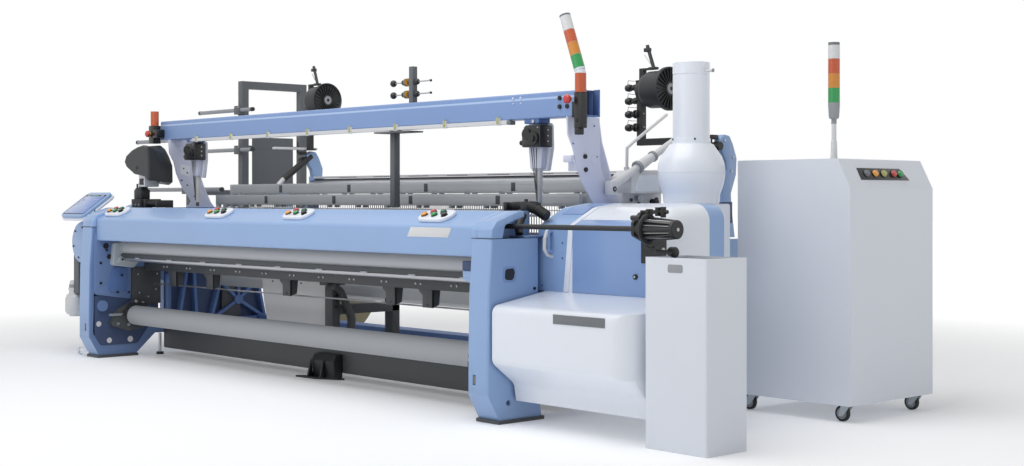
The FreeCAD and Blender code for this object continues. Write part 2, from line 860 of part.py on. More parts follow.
def selvage_devices():
    pieces = []
    for name, x in (("right", 1630), ("left", -1860)):
        bracket = box(f"{name}_selvage_bracket", x + 60, lintel_y + 33, lintel_low - 28, 140, 56, 28)
        case = box(f"{name}_selvage_case", x, lintel_y - 20, lintel_low - 150, 230, 110, 123)
        plate = block(
            f"{name}_selvage_plate", "XZ", lintel_y + 90, 14,
            [
                (x + 90, lintel_low - 20), (x + 250, lintel_low - 20), (x + 262, lintel_low - 150),
                (x + 240, lintel_low - 275), (x + 110, lintel_low - 275),
            ],
        )
        stem = block(
            f"{name}_selvage_stem", "XZ", lintel_y + 50, 40,
            [
                (x + 150, lintel_low - 150), (x + 220, lintel_low - 150),
                (x + 205, lintel_low - 330), (x + 205, lintel_low - 455),
                (x + 185, lintel_low - 455), (x + 185, lintel_low - 330),
            ],
        )
        pieces.append(fused(f"{name}_selvage_device", [bracket, case, plate, stem]))
    node("selvage_devices", group("selvage_devices", pieces))


def posts():
    square = cell("centre_post_square", 50)
    post_x = cell("centre_post_x", 535)
    post_low = cell("centre_post_low", 1050)
    seat = cell("centre_post_plate_thick", 8)
    post = box("centre_post_bar", post_x, lintel_y + 40, post_low, square, square,
               lintel_low - post_low - seat)
    plate = box("centre_post_plate", post_x - 130, lintel_y + 34, lintel_low - seat, 340, 60, seat)
    hanger = fused("centre_hanger", [post, plate])
    mast = cell("tension_post_square", 36)
    mast_x = cell("tension_post_x", 610)
    mast_y = lintel_y + lintel_deep
    pieces = [box("tension_mast", mast_x, mast_y, lintel_low + 20, mast, mast, 340)]
    for row in (0, 1):
        z = 1722 + row * 72
        y = mast_y + mast / 2
        pieces.append(flat_bar(f"tension_pin_{row}", mast_x - 170, y, z, 4, 330))
        pieces.append(flat_bar(f"tension_ball_{row}", mast_x - 185, y, z, 20, 40))
        pieces.append(flat_bar(f"tension_discs_{row}", mast_x - 75, y, z, 22, 75))
        pieces.append(flat_bar(f"tension_cap_{row}", mast_x + mast, y, z, 20, 22))
    tensioner = fused("yarn_tensioner", pieces)
    node("beam_posts", group("beam_posts", [hanger, tensioner]))


# ---------------------------------------------------------------- lamps and stop knobs
def lamps():
    tower = cell("tower_radius", 32)
    deep = (tower + fit) * 2
    box_y = lintel_y - deep
    case = box("right_switch_case", 2110, box_y, 1470, 76, deep, 175)
    stub = box("right_switch_stub", 2110, box_y, 1425, 50, deep, 46)
    upright = (0, 0, 1)
    lean = (-0.27, 0, 0.963)
    sides = 24
    lamp_y = box_y + deep / 2
    lamp = flat_bar("right_lamp_base", 2148, lamp_y, 1644, tower, 110, upright, sides)
    stack = flat_bar("right_lamp_stack", 2150, lamp_y, 1738, tower, 337, lean, sides)
    stem = cell("stop_stem_radius", 13)
    travel = cell("stop_knob_travel", 6)
    knobs = (("right_stop_knob", 2132, 1610), ("left_stop_knob", -2190, 1570))
    seats = [rod(f"{name}_seat", "Y", x, box_y, z, stem + fit, travel * 2) for name, x, z in knobs]
    right = cut("right_beacon", fused("right_beacon_whole", [case, stub, lamp, stack]), seats[0])
    left_case = box("left_switch_case", -2215, box_y, 1500, 70, deep, 130)
    bridge = box("left_switch_bridge", -outer - 3, box_y, 1540, 60, deep, 60)
    left_lamp = flat_bar("left_lamp", -2180, lamp_y, 1629, tower, 105, upright, sides)
    left = cut("left_beacon", fused("left_beacon_whole", [left_case, bridge, left_lamp]), seats[1])
    node("signal_lamps", group("signal_lamps", [right, left]))
    knob = cell("stop_knob_radius", 24)
    head = cell("stop_knob_head", 26)
    clear = 2
    for name, x, z in knobs:
        button = new_body(name, x, box_y, z)
        add_block(button, "XZ", -travel - clear, travel * 2 + clear - 1, (0, 0, stem))
        add_block(button, "XZ", -travel - clear - head, head, flats(0, 0, knob, sides))
        node(name, button)


# ---------------------------------------------------------------- left end: hood, terminal, rapier guard
def weft_hood():
    base_top = rail_height + 130
    base = box("hood_base", -half - 140, 320, seam_height, 130, 98, base_top - seam_height)
    neck = box("hood_neck", -half - 90, 350, base_top - 10, 50, 50, 160)
    low = rail_height + 175
    left = -half
    hood = block(
        "weft_hood_shell", "XZ", 300, 190,
        [
            (left - 180, low + 160), (left - 110, low + 225, 40), (left + 10, low + 280, 60),
            (left + 85, low + 275, 30), (left + 140, low + 115), (left + 150, low + 50),
            (left + 95, low), (left + 50, low + 17), (left + 15, low + 75),
            (left - 110, low + 90),
        ],
    )
    node("weft_hood", fused("weft_hood", [base, neck, hood]))


terminal_x = cell("terminal_x", -2400)
terminal_y = cell("terminal_y", 140)
terminal_z = seam_height + cell("terminal_rise", 104)
terminal_slope = cell("terminal_slope", 44)


def terminal():
    wide = cell("terminal_width", 380)
    long = cell("terminal_length", 300)
    thick = cell("terminal_thick", 45)
    lift = cell("terminal_lift", 24)
    lug = cell("terminal_lug", 16)
    lug_wide = cell("terminal_lug_width", 120)
    pin = cell("terminal_pin_radius", 7)
    rim = cell("terminal_rim", 40)
    turn = FreeCAD.Rotation(FreeCAD.Vector(1, 0, 0), terminal_slope.value)
    body = new_body("terminal", terminal_x, terminal_y, terminal_z, turn)
    add_block(body, "XY", lift, thick, rectangle(-wide / 2, -long / 2, wide, long, 35))
    add_block(body, "YZ", -lug_wide / 2, lug_wide,
              [(-lug, -lug), (-lug, lift + 4), (lug, lift + 4), (lug, -lug)])
    sink(body, "YZ", -lug_wide / 2, lug_wide, (0, 0, pin + fit))
    sink(body, "XY", lift + thick - 4, 4,
         rectangle(-wide / 2 + rim, -long / 2 + rim * 1.5, wide - rim * 2, long - rim * 2.2))
    node("terminal", body)
    cheek_thick = cell("terminal_cheek", 18)
    cheek_low = cell("terminal_cheek_drop", 90)
    near = lug_wide / 2 + fit
    pieces = []
    for name, x in (("near", near), ("far", -near - cheek_thick)):
        pieces.append(block(
            f"terminal_cheek_{name}", "YZ", terminal_x + x, cheek_thick,
            [
                (terminal_y - 15, terminal_z + 14), (terminal_y + 15, terminal_z + 14),
                (terminal_y + 30, terminal_z - cheek_low), (terminal_y - 30, terminal_z - cheek_low),
            ],
        ))
    ends = near + cheek_thick
    pieces.append(rod("terminal_pin", "X", terminal_x - ends, terminal_y, terminal_z, pin,
                      ends * 2))
    pieces.append(box("terminal_arm", terminal_x - ends, terminal_y - 30,
                      terminal_z - cheek_low - 10, -outer - terminal_x + ends, 60, 36))
    node("terminal_bracket", fused("terminal_bracket", pieces))


# ---------------------------------------------------------------- rapier wheels and their housings
def rapier_wheels():
    arms = 5
    for name, side in (("right_rapier_wheel", 1), ("left_rapier_wheel", -1)):
        windows = []
        for number in range(arms):
            corners = []
            for turn, reach in ((-0.3, 0.82), (0.3, 0.82), (0.22, 0.3), (-0.22, 0.3)):
                angle = math.tau * (number + turn) / arms
                corners.append((
                    wheel_x * side + wheel_radius * round(reach * math.cos(angle), 6),
                    wheel_z + wheel_radius * round(reach * math.sin(angle), 6),
                ))
            windows.append(corners)
        wheel = block(name, "XZ", wheel_y - wheel_thick / 2, wheel_thick,
                      (wheel_x * side, wheel_z, wheel_radius),
                      (wheel_x * side, wheel_z, wheel_axle + fit), *windows)
        node(name, wheel)


def left_guards():
    deep = cell("guard_depth", 80)
    wall = cell("guard_wall", 5)
    room = cell("guard_room", 30)
    reach = wheel_radius + room
    guard_front = wheel_y + wheel_thick - deep
    shell = turned(
        "guard_shell", "Y", -wheel_x, guard_front, wheel_z,
        [
            (0, 0), (0, reach), (deep, reach), (deep, reach - wall), (wall, reach - wall),
            (wall, 0),
        ],
    )
    lug = box("guard_lug", -wheel_x + reach - 25, wheel_y + 20, wheel_z + 90,
              wheel_x - reach + 25 - half - plate_thick, 30, 60)
    gear_x = wheel_x - cell("gear_cover_inset", 130)
    gear_y = cell("gear_cover_y", 60)
    gear_z = wheel_z - cell("gear_cover_drop", 25)
    gear_radius = cell("gear_cover_radius", 140)
    gear_deep = cell("gear_cover_depth", 150)
    cover = turned(
        "gear_cover", "Y", -gear_x, gear_y, gear_z,
        [
            (0, 0), (0, gear_radius), (gear_deep, gear_radius), (gear_deep, 0),
        ],
    )
    stem = box("gear_cover_stem", -gear_x, gear_y + 20, gear_z - 60, gear_x - outer,
               gear_deep - 40, 120)
    link = box("gear_cover_link", -gear_x - 60, gear_y + gear_deep - 5, gear_z - 50, 100,
               guard_front - gear_y - gear_deep + 10, 90)
    jar_z = cell("oil_jar_z", 300)
    drop = box("oil_jar_hanger", -gear_x - 170, gear_y + 30, jar_z + 120, 80, 60,
               gear_z - jar_z - 180)
    jar = turned(
        "oil_jar", "Z", -gear_x - 190, gear_y + 60, jar_z - 90,
        [
            (0, 0), (0, 62), (145, 62), (145, 40), (215, 40), (215, 0),
        ],
    )
    node("left_guards", fused("left_guards", [shell, lug, cover, stem, link, drop, jar]))


housing_left = half + cell("upright_face", 110)     # the uprights' outer face
housing_front = cell("housing_front", 300)
housing_seam = cell("housing_seam", 690)
housing_back = cell("housing_back", 810)
housing_right = cell("housing_right", 2900)
housing_low = cell("housing_low", 640)
housing_top = cell("housing_top", 1078)
white_left = cell("white_left", 2330)
skin = cell("housing_skin", 6)


def slope_outline(inset):
    # the sloping hood seen from the side, drawn inwards by the inset
    return [
        (housing_front + inset, housing_low - 1 if inset else housing_low),
        (housing_front + inset, 950 - inset * 0.5), (housing_front + 15 + inset, 972 - inset * 0.5),
        (480, 1056 - inset, 60), (housing_seam - 50, housing_top - inset, 60),
        (housing_seam, housing_top - inset),
        (housing_seam, housing_low - 1 if inset else housing_low),
    ]


def rapier_housing():
    left = block("blue_hood", "YZ", housing_left, white_left - housing_left, slope_outline(0))
    sink(left, "YZ", housing_left, white_left - housing_left,
         [
             *[corner[:2] for corner in slope_outline(skin)[:4]],
             (housing_seam - 50, housing_top - skin), (housing_seam - 1, housing_top - skin),
             (housing_seam - 1, housing_low - 1),
         ])
    panel = box("blue_panel", white_left + 32, housing_front - 8, housing_low,
                housing_right - white_left - 44, 8, 955 - housing_low)
    back = block(
        "blue_back", "YZ", housing_left, housing_right - housing_left - 10,
        [
            (housing_seam, housing_low), (housing_seam, housing_top), (housing_back, housing_top - 4),
            (housing_back, housing_low),
        ],
    )
    rim = housing_right.value - 11
    high = housing_top.value - 60
    soften(back, 80, lambda b: b.YLength > 50 and b.XMin > rim and b.ZMin > high)
    bow = cell("handle_bow", 34)
    handle = block(
        "cover_handle", "YZ", housing_left + 85, 22,
        [
            (housing_front, 955), (housing_front - bow, 945, 14), (housing_front - bow, 835, 14),
            (housing_front, 825), (housing_front, 843), (housing_front - bow + 14, 848),
            (housing_front - bow + 14, 930), (housing_front, 936),
        ],
    )
    shell = fused("rapier_shell", [left, back, panel])
    node("rapier_cover", group("rapier_cover", [shell, handle]))
    hood = block("upper_cover", "YZ", white_left, housing_right - white_left, slope_outline(0))
    edge = housing_right.value - 1
    soften(hood, 80, lambda b: b.XLength < 1 and b.XMin > edge and b.ZMin > high
           and b.YLength > 30)
    sink(hood, "YZ", white_left, housing_right - white_left - 90,
         [
             *[corner[:2] for corner in slope_outline(skin)[:4]],
             (housing_seam - 50, housing_top - skin), (housing_seam - 1, housing_top - skin),
             (housing_seam - 1, housing_low - 1),
         ])
    node("upper_cover", hood)


def drive_housing():
    left = cell("drive_left", 2165)
    right = cell("drive_right", 3060)
    front = cell("drive_front", -60)
    low = cell("drive_low", 110)
    shoulder = cell("drive_shoulder", 585)
    back = cell("drive_back", 680)
    wall = cell("drive_wall", 8)
    corner = cell("drive_corner", 120)
    body = block(
        "drive_cover", "YZ", left, right - left,
        [
            (front + 30, 250), (front, 330), (front, shoulder - 25), (front + 25, shoulder),
            (housing_front - 8, housing_low), (back, housing_low), (back, low), (25, low),
        ],
    )
    sink(body, "XZ", front - 1, back - front + 2,
         [
             (left - 1, low - 1), (2385, low - 1), (2375, 190, 50), (2230, 270, 60),
             (left - 1, 330),
         ])
    edge = right.value - 1
    soften(body, corner, lambda b: b.XMin > edge and b.YLength < 1 and b.ZLength > 150
           and b.YMax < 100)
    sink(body, "YZ", left, right - left - corner - wall,
         [
             (front + wall, 335), (front + wall, shoulder - 30), (front + 30, shoulder - 8),
             (housing_front - 8, housing_low - wall), (back + 1, housing_low - wall),
             (back + 1, low + wall), (25 + wall, low + wall),
         ])
    gap = wheel_radius + 20
    sink(body, "XY", housing_low - wall * 2, wall * 2 + 2,
         rectangle(wheel_x - gap, wheel_y - 60, gap * 2, 120))
    node("drive_cover", body)
    motor_x = cell("motor_x", 2640)
    motor_z = cell("motor_z", 300)
    motor_radius = cell("motor_radius", 100)
    pieces = [
        rod("motor_case", "Y", motor_x, 120, motor_z, motor_radius, 330),
        rod("motor_pulley", "Y", motor_x, 45, motor_z, 60, 75),
        box("motor_foot", half + plate_thick, 435, motor_z - 60, motor_x - half - plate_thick,
            170, 120),
    ]
    node("main_motor", fused("main_motor", pieces))


def extraction_duct():
    x = cell("duct_x", 2524)
    y = cell("duct_y", 990)
    neck = cell("duct_radius", 97)
    bulge = cell("duct_bulge_radius", 157)
    seam = cell("duct_seam", 1208)
    top = cell("duct_top", 1800)
    base = cell("duct_base_radius", 132)
    wall = cell("duct_wall", 6)
    floor = housing_top - 2
    case_low = cell("duct_case_low", 500)
    case_wide = cell("duct_case_width", 520)
    case_deep = cell("duct_case_depth", 320)
    vessel = turned(
        "duct_vessel", "Z", x, y, 0,
        [
            (floor, 0), (floor, base), (seam - 60, bulge), (seam + 60, bulge),
            (seam + 170, neck), (top, neck), (top, neck - wall), (seam + 180, neck - wall),
            (seam + 180, 0),
        ],
    )
    pin = flat_bar("duct_pin", x + neck - 2, y, top - 48, 10, 26)
    case = box("duct_base", half + plate_thick + 70, housing_back, case_low, case_wide, case_deep,
               floor - case_low)
    node("extraction_duct", fused("extraction_duct", [vessel, pin, case]))


def shed_linkage():
    left = half + 10
    low = rail_height
    plinth = box("linkage_plinth", left, 935, low, 80, 310, 95)
    case = block(
        "linkage_case", "YZ", left, 145,
        [(935, low + 90), (1225, low + 90), (1240, low + 150), (1180, low + 210),
         (980, low + 215, 30), (935, low + 180)],
    )
    lean = (0, 0.89, 0.456)
    arm_x = half + cell("linkage_arm_offset", 145)
    arm_low = low + 118
    along = 250
    arm = leaning("linkage_arm", arm_x, 780, arm_low, 30, 590, lean)
    sleeve = leaning("linkage_sleeve", arm_x, 780 + along * lean[1], arm_low + along * lean[2],
                     38, 120, lean)
    stem = flat_bar("linkage_stem", half + 60, 1000, low + 200, 13, 150, (0, 0, 1))
    slant = flat_bar("linkage_slant", half + 60, 1000, low + 336, 9, 378, (0, 0.86, 0.51))
    node("shed_linkage", fused("shed_linkage", [plinth, case, arm, sleeve, stem, slant]))


# ---------------------------------------------------------------- creel stand and yarn drums
def creel_stand():
    x = cell("creel_x", -2600)
    square = cell("creel_post", 60)
    tall = cell("creel_tall", 2030)
    low_post = cell("creel_low_post", 1600)
    left = x - square / 2
    pieces = []
    front = cell("creel_front_y", 1045)
    middle = cell("creel_middle_y", 1510)
    rear = cell("creel_rear_y", 2060)
    for name, y, height in (("front", front, low_post), ("middle", middle, tall), ("rear", rear, tall)):
        pieces.append(box(f"creel_{name}_post", left, y, 0, square, square, height))
        pieces.append(box(f"creel_{name}_foot", x - 250, y, 0, 500, square, 30))
    run = rear - front + square
    pieces.append(box("creel_top_rail", left, middle, tall - square, square,
                      rear - middle + square, square))
    pieces.append(box("creel_floor_rail", left, front, 30, square, run, square))
    pieces.append(box("creel_middle_rail", left, front, 1130, square, run, 40))
    pieces.append(box("creel_panel", x - 4, middle + 110, 1160, 8, 385, 430))
    pieces.append(box("creel_panel_tie", x - 6, middle + 50, 1500, 12, rear - middle - 40, 24))
    radius = cell("creel_rod_radius", 15)
    for name, y, z, start, length in (
        ("upper", middle, 1800, x - 590, 800), ("lower", middle, 1487, x - 590, 800),
        ("front_upper", front, 1555, x - 770, 1000), ("front_lower", front, 1172, x - 580, 1100),
    ):
        line = y - radius + 1
        pieces.append(flat_bar(f"creel_{name}_rod", start, line, z, radius, length))
    node("creel_stand", fused("creel_stand", pieces))


def yarn_drums():
    y = cell("drum_y", 1760)
    radius = cell("drum_radius", 112)
    rim = cell("drum_rim_radius", 130)
    long = cell("drum_length", 170)
    rim_thick = cell("drum_rim_thick", 26)
    axle = cell("drum_axle_radius", 12)
    ribs = cell("drum_ribs", 8)
    segments = 24
    masts = []
    for name, x, z in (("right", 1505, 1750), ("left", -1960, 1850)):
        drum = new_body(f"{name}_drum", x, y, z)
        add_block(drum, "YZ", 0, long, flats(0, 0, radius, segments))
        add_block(drum, "YZ", long, rim_thick, flats(0, 0, rim, segments))
        add_block(drum, "YZ", long + rim_thick - 1, 7,
                  rectangle(-3, axle + 14, 6, rim - axle - 28))
        rib = drum.Tip
        ring = drum.newObject("PartDesign::PolarPattern", f"{name}_drum_ribs")
        ring.Originals = [rib]
        origin = drum.Origin.OriginFeatures
        ring.Axis = (next(p for p in origin if p.Role == "X_Axis"), [""])
        ring.Angle = 360
        bind(ring, "Occurrences", ribs)
        drum.Tip = ring
        sink(drum, "YZ", 0, long + rim_thick, (0, 0, axle + fit))
        node(f"{name}_drum", drum)
        back = x - 40
        pieces = [
            rod(f"{name}_mast_axle", "X", back, y, z, axle, long + 40 + rim_thick),
            box(f"{name}_mast_head", back - 5, y - 45, z - 60, 38, 90, 120),
            box(f"{name}_mast_neck", back - 5, y - 15, z + 50, 33, 30, radius - 30),
            box(f"{name}_mast_hook", back - 5, y - 15, z + radius + 8, 125, 30, 12),
            flat_bar(f"{name}_mast_top", x + 60, y, z + radius + 16, 10, 150, (-0.35, 0, 0.94)),
        ]
        if name == "right":
            pieces.append(box("right_mast_post", back - 20, y - 20, 1440, 40, 40, z - 1440))
            pieces.append(box("right_mast_foot", back - 20, y - 20, 1420, half - back + 20,
                              40, 40))
            for row in range(4):
                level = 1530 + row * 80
                pieces.append(flat_bar(f"right_tension_pin_{row}", 1370, y - 8, level, 4, 130))
                pieces.append(flat_bar(f"right_tension_ball_{row}", 1352, y - 8, level, 20, 40))
                pieces.append(flat_bar(f"right_tension_disc_{row}", 1412, y - 8, level, 20, 30))
        else:
            pieces.append(box("left_mast_foot", back - 60, y - 20, arm_top, 80, 60, 12))
            pieces.append(box("left_mast_post", back - 20, y - 20, arm_top, 40, 40, z - arm_top))
        masts.append(fused(f"{name}_mast", pieces))
    node("drum_masts", group("drum_masts", masts))


# ---------------------------------------------------------------- waste take-off and bin
def waste_take_off():
    start = half + 10 + fit
    flange_x = cell("waste_flange_x", 3005)
    long = cell("waste_drum_length", 190)
    root = cell("waste_drum_root", 48)
    nose = cell("waste_drum_nose", 36)
    flutes = 8
    roller = turned(
        "waste_roller", "X", 0, waste_y, waste_z,
        [
            (start, 0), (start, waste_radius), (flange_x, waste_radius),
            (flange_x, waste_flange), (flange_x + 16, waste_flange), (flange_x + 16, 0),
        ],
    )
    outline = []
    for number in range(flutes):
        for turn, reach in ((-0.11, root + 14), (0.11, root + 14), (0.2, root), (0.8, root)):
            angle = math.tau * (number + turn) / flutes
            outline.append((
                reach * round(math.cos(angle), 6),
                reach * round(math.sin(angle), 6),
            ))
    add_block(roller, "YZ", flange_x + 16, long - 16, outline)
    add_block(roller, "YZ", flange_x + long, 22, flats(0, 0, nose + 10, 16))
    node("waste_roller", roller)
    plate_x = flange_x - 42
    plate = cell("waste_plate_thick", 16)
    arm = block(
        "waste_arm", "YZ", plate_x, plate,
        [
            (waste_y - 30, waste_z - 30, 15), (waste_y - 30, waste_z + 30, 15),
            (waste_y + 20, waste_z + 75), (waste_y + 80, waste_z + 75), (housing_front - 8, 900),
            (housing_front - 8, 800), (housing_front - 40, 800), (200, 880),
        ],
    )
    sink(arm, "YZ", plate_x, plate, (waste_y, waste_z, waste_radius + fit))
    foot = box("waste_foot", housing_right - 70, housing_front - 20, 800,
               plate_x + plate - housing_right + 70, 12, 110)
    finger = box("waste_finger", plate_x, waste_y + 30, waste_z + 70, 110, 22, 14)
    tip = flat_bar("waste_finger_tip", plate_x + 100, waste_y + 41, waste_z + 58, 14, 40,
                   (0, 0, 1))
    node("waste_bracket", fused("waste_bracket", [arm, foot, finger, tip]))


def waste_bin():
    left = cell("bin_left", 3100)
    front = cell("bin_front", 13)
    wide = cell("bin_width", 355)
    deep = cell("bin_depth", 272)
    tall = waste_z - waste_flange - cell("bin_clearance", 48)
    wall = cell("bin_wall", 4)
    bin_body = block("waste_bin", "XY", 0, tall, rectangle(left, front, wide, deep, 8))
    sink(bin_body, "XY", wall, tall,
         rectangle(left + wall, front + wall, wide - wall * 2, deep - wall * 2))
    sink(bin_body, "XZ", front - 1, wall + 2,
         rectangle(left + wide / 2 - 36, tall - 60, 72, 24))
    node("waste_bin", bin_body)


# ---------------------------------------------------------------- control cabinet on its casters
cabinet_low = cell("cabinet_low", 85)
cabinet_left = cell("cabinet_left", 2600)
cabinet_right = cell("cabinet_right", 3300)
cabinet_front = cell("cabinet_front", 1270)
cabinet_depth = cell("cabinet_depth", 730)


def cabinet():
    high = cell("cabinet_high", 1300)
    slope_low = cell("cabinet_slope_low", 1154)
    slope_run = cell("cabinet_slope_run", 75)
    body = block(
        "cabinet_case", "XZ", cabinet_front, cabinet_depth,
        [
            (cabinet_left, cabinet_low, 6), (cabinet_right, cabinet_low, 6),
            (cabinet_right, slope_low, 10), (cabinet_right - slope_run, high, 10),
            (cabinet_left, high, 6),
        ],
    )
    rise = high.value - slope_low.value
    normal = (rise, 0, slope_run.value)
    middle_z = (high + slope_low) / 2
    slope_x = cabinet_right - slope_run / 2
    button = cell("cabinet_button_radius", 17)
    pieces = [body]
    for index, y in enumerate((1453, 1526, 1601, 1689, 1748)):
        pieces.append(flat_bar(f"cabinet_button_{index + 1}", slope_x, y, middle_z - 4,
                               button, button + 5, normal))
    node("cabinet", fused("cabinet", pieces))
    tower_x = cell("cabinet_tower_x", 3040)
    tower_y = cell("cabinet_tower_y", 1500)
    stack = cell("cabinet_tower_radius", 30)
    pole = cell("cabinet_pole_radius", 9)
    node("cabinet_beacon", turned(
        "cabinet_beacon", "Z", tower_x, tower_y, high,
        [
            (0, 0), (0, pole), (214, pole), (296, stack), (600, stack), (600, 0),
        ],
    ))


def casters():
    radius = cell("caster_radius", 40)
    wide = cell("caster_width", 26)
    trail = cell("caster_trail", 26)
    axle = cell("caster_axle_radius", 6)
    cheek = cell("caster_cheek", 5)
    inset = cell("caster_inset", 60)
    plate = cell("caster_plate", 3)
    sides = 16
    spots = (
        (cabinet_left + inset, cabinet_front + inset),
        (cabinet_right - inset, cabinet_front + inset),
        (cabinet_left + inset, cabinet_front + cabinet_depth - inset),
        (cabinet_right - inset, cabinet_front + cabinet_depth - inset),
    )
    for number, (x, y) in enumerate(spots, 1):
        wheel_at = x - trail
        crown = cabinet_low - fit
        side = wide / 2 + 2
        pieces = [
            box(f"caster_crown_{number}", x - 30, y - 30, crown - plate, 60, 60, plate / 2),
            rod(f"caster_race_{number}", "Z", x, y, crown - plate / 2, 12, plate / 2),
        ]
        for label, left in (("near", y - side - cheek), ("far", y + side)):
            pieces.append(block(
                f"caster_cheek_{label}_{number}", "XZ", left, cheek,
                [
                    (x - 24, crown - plate * 0.75), (x + 26, crown - plate * 0.75),
                    (wheel_at + 14, radius - 12),
                    (wheel_at - 14, radius - 12),
                ],
            ))
        axle_reach = side + 1
        pieces.append(rod(f"caster_axle_{number}", "Y", wheel_at, y - axle_reach, radius, axle,
                          axle_reach * 2))
        node(f"caster_fork_{number}", fused(f"caster_fork_{number}", pieces))
        wheel = block(f"caster_wheel_{number}", "XZ", y - wide / 2, wide,
                      flats(wheel_at, radius, radius, sides),
                      (wheel_at, radius, axle + fit))
        node(f"caster_wheel_{number}", wheel)


# ---------------------------------------------------------------- checks and files
def write_nodes():
    document.recompute()
    for thing in document.Objects:
        if "Invalid" in thing.State or "Error" in thing.State:
            raise RuntimeError(f"{thing.Label} failed: {thing.State}")
    for pocket in pockets:
        if not pocket.Shape.Volume < pocket.BaseFeature.Shape.Volume:
            raise RuntimeError(f"{pocket.Label} removes nothing")
    for piece in nodes:
        shape = piece.Shape
        if shape.isNull() or not shape.isValid() or not shape.Solids:
            raise RuntimeError(f"{piece.Label} has no valid solid")
        shape.exportStep(f"parts/{piece.Label}.step")
    print(len(nodes), "pieces")


side_frames()
feet()
crossbeams()
breast_beam()
covers_in_front()
button_pods()
rollers()
warp_beam()
back_rest()
sley()
heald_frames()
overhead()
selvage_devices()
posts()
lamps()
weft_hood()
terminal()
rapier_wheels()
left_guards()
rapier_housing()
drive_housing()
extraction_duct()
shed_linkage()
creel_stand()
yarn_drums()
waste_take_off()
waste_bin()
cabinet()
casters()
write_nodes()
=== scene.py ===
import math

import bmesh
import bpy
from mathutils import Matrix, Vector


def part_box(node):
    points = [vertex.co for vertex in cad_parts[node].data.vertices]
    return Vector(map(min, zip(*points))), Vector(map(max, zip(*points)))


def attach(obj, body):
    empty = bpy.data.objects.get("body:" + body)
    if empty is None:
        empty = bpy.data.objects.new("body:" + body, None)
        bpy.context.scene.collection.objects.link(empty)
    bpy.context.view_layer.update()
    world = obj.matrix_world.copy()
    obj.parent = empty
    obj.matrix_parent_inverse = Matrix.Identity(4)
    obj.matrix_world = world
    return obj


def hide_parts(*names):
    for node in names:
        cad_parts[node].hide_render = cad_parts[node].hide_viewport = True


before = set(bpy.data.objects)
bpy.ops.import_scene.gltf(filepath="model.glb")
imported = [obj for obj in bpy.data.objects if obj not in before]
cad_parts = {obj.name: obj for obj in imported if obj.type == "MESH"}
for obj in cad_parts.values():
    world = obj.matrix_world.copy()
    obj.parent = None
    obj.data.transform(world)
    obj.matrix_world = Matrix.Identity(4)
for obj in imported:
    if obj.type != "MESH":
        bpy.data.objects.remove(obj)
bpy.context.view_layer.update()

coverLow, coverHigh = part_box("front_cover")
# how far the cover stands out before the plane that y is counted from
coverLip = 0.020
# the loom's own middle and the plane of its front, seen from the frame origin
loomShift = Vector(((coverLow.x + coverHigh.x) / 2, coverLow.y + coverLip, 0))
print("power loom: frame loaded")


# colours are written as they look on a screen, 0 to 255
def tone(red, green, blue):
    parts = [value / 255 for value in (red, green, blue)]
    return [*(p / 12.92 if p < 0.04045 else ((p + 0.055) / 1.055) ** 2.4 for p in parts), 1.0]


class Link:
    # a shader value that can be reckoned with like a number
    def __init__(self, shader, socket):
        self.shader = shader
        self.socket = socket

    def reckon(self, operation, left, right):
        node = self.shader.add("ShaderNodeMath", {"operation": operation}, {0: left, 1: right})
        return Link(self.shader, node.outputs[0])

    def __add__(self, other):
        return self.reckon("ADD", self, other)

    def __radd__(self, other):
        return self.reckon("ADD", other, self)

    def __sub__(self, other):
        return self.reckon("SUBTRACT", self, other)

    def __rsub__(self, other):
        return self.reckon("SUBTRACT", other, self)

    def __mul__(self, other):
        return self.reckon("MULTIPLY", self, other)

    def __rmul__(self, other):
        return self.reckon("MULTIPLY", other, self)

    def clamp(self):
        node = self.shader.add("ShaderNodeClamp", {}, {"Value": self})
        return Link(self.shader, node.outputs[0])


class Shader:
    # the nodes of one material, or of the world
    def __init__(self, owner):
        owner.use_nodes = True
        self.tree = owner.node_tree
        self.surface = self.tree.nodes.get("Principled BSDF")

    def add(self, kind, settings, sockets):
        node = self.tree.nodes.new(kind)
        for setting, value in settings.items():
            setattr(node, setting, value)
        for socket, value in sockets.items():
            self.feed(node.inputs[socket], value)
        return node

    def feed(self, socket, value):
        if isinstance(value, Link):
            self.tree.links.new(value.socket, socket)
        else:
            socket.default_value = value

    def noise(self, scale, detail=2.0, stretch=(1, 1, 1)):
        place = self.add("ShaderNodeTexCoord", {}, {})
        turned = self.add("ShaderNodeMapping", {}, {"Vector": Link(self, place.outputs["Object"]),
                                                    "Scale": stretch})
        cloud = self.add("ShaderNodeTexNoise", {}, {"Vector": Link(self, turned.outputs[0]),
                                                    "Scale": scale, "Detail": detail})
        return Link(self, cloud.outputs["Fac"])

    def height(self):
        place = self.add("ShaderNodeTexCoord", {}, {})
        parts = self.add("ShaderNodeSeparateXYZ", {}, {"Vector": Link(self, place.outputs["Object"])})
        return Link(self, parts.outputs["Z"])

    def mixed(self, factor, first, second):
        node = self.add("ShaderNodeMix", {"data_type": "RGBA"}, {0: factor, 6: first, 7: second})
        return Link(self, node.outputs[2])

    def bump(self, height, strength, distance):
        node = self.add("ShaderNodeBump", {}, {"Height": height, "Strength": strength,
                                               "Distance": distance})
        return Link(self, node.outputs[0])


def shaded(colour, share):
    return [*(min(1.0, part * share) for part in colour[:3]), 1.0]


# what every finish shares: the size of its patches and grain, and where grime lies
coating = {"patchScale": 2.3, "grainScale": 420.0, "patchGloss": 0.12, "relief": 0.0004,
           "grimeTop": 0.35, "grimeFade": 2.4, "grimeScale": 9.0, "grimeTone": tone(92, 88, 84)}


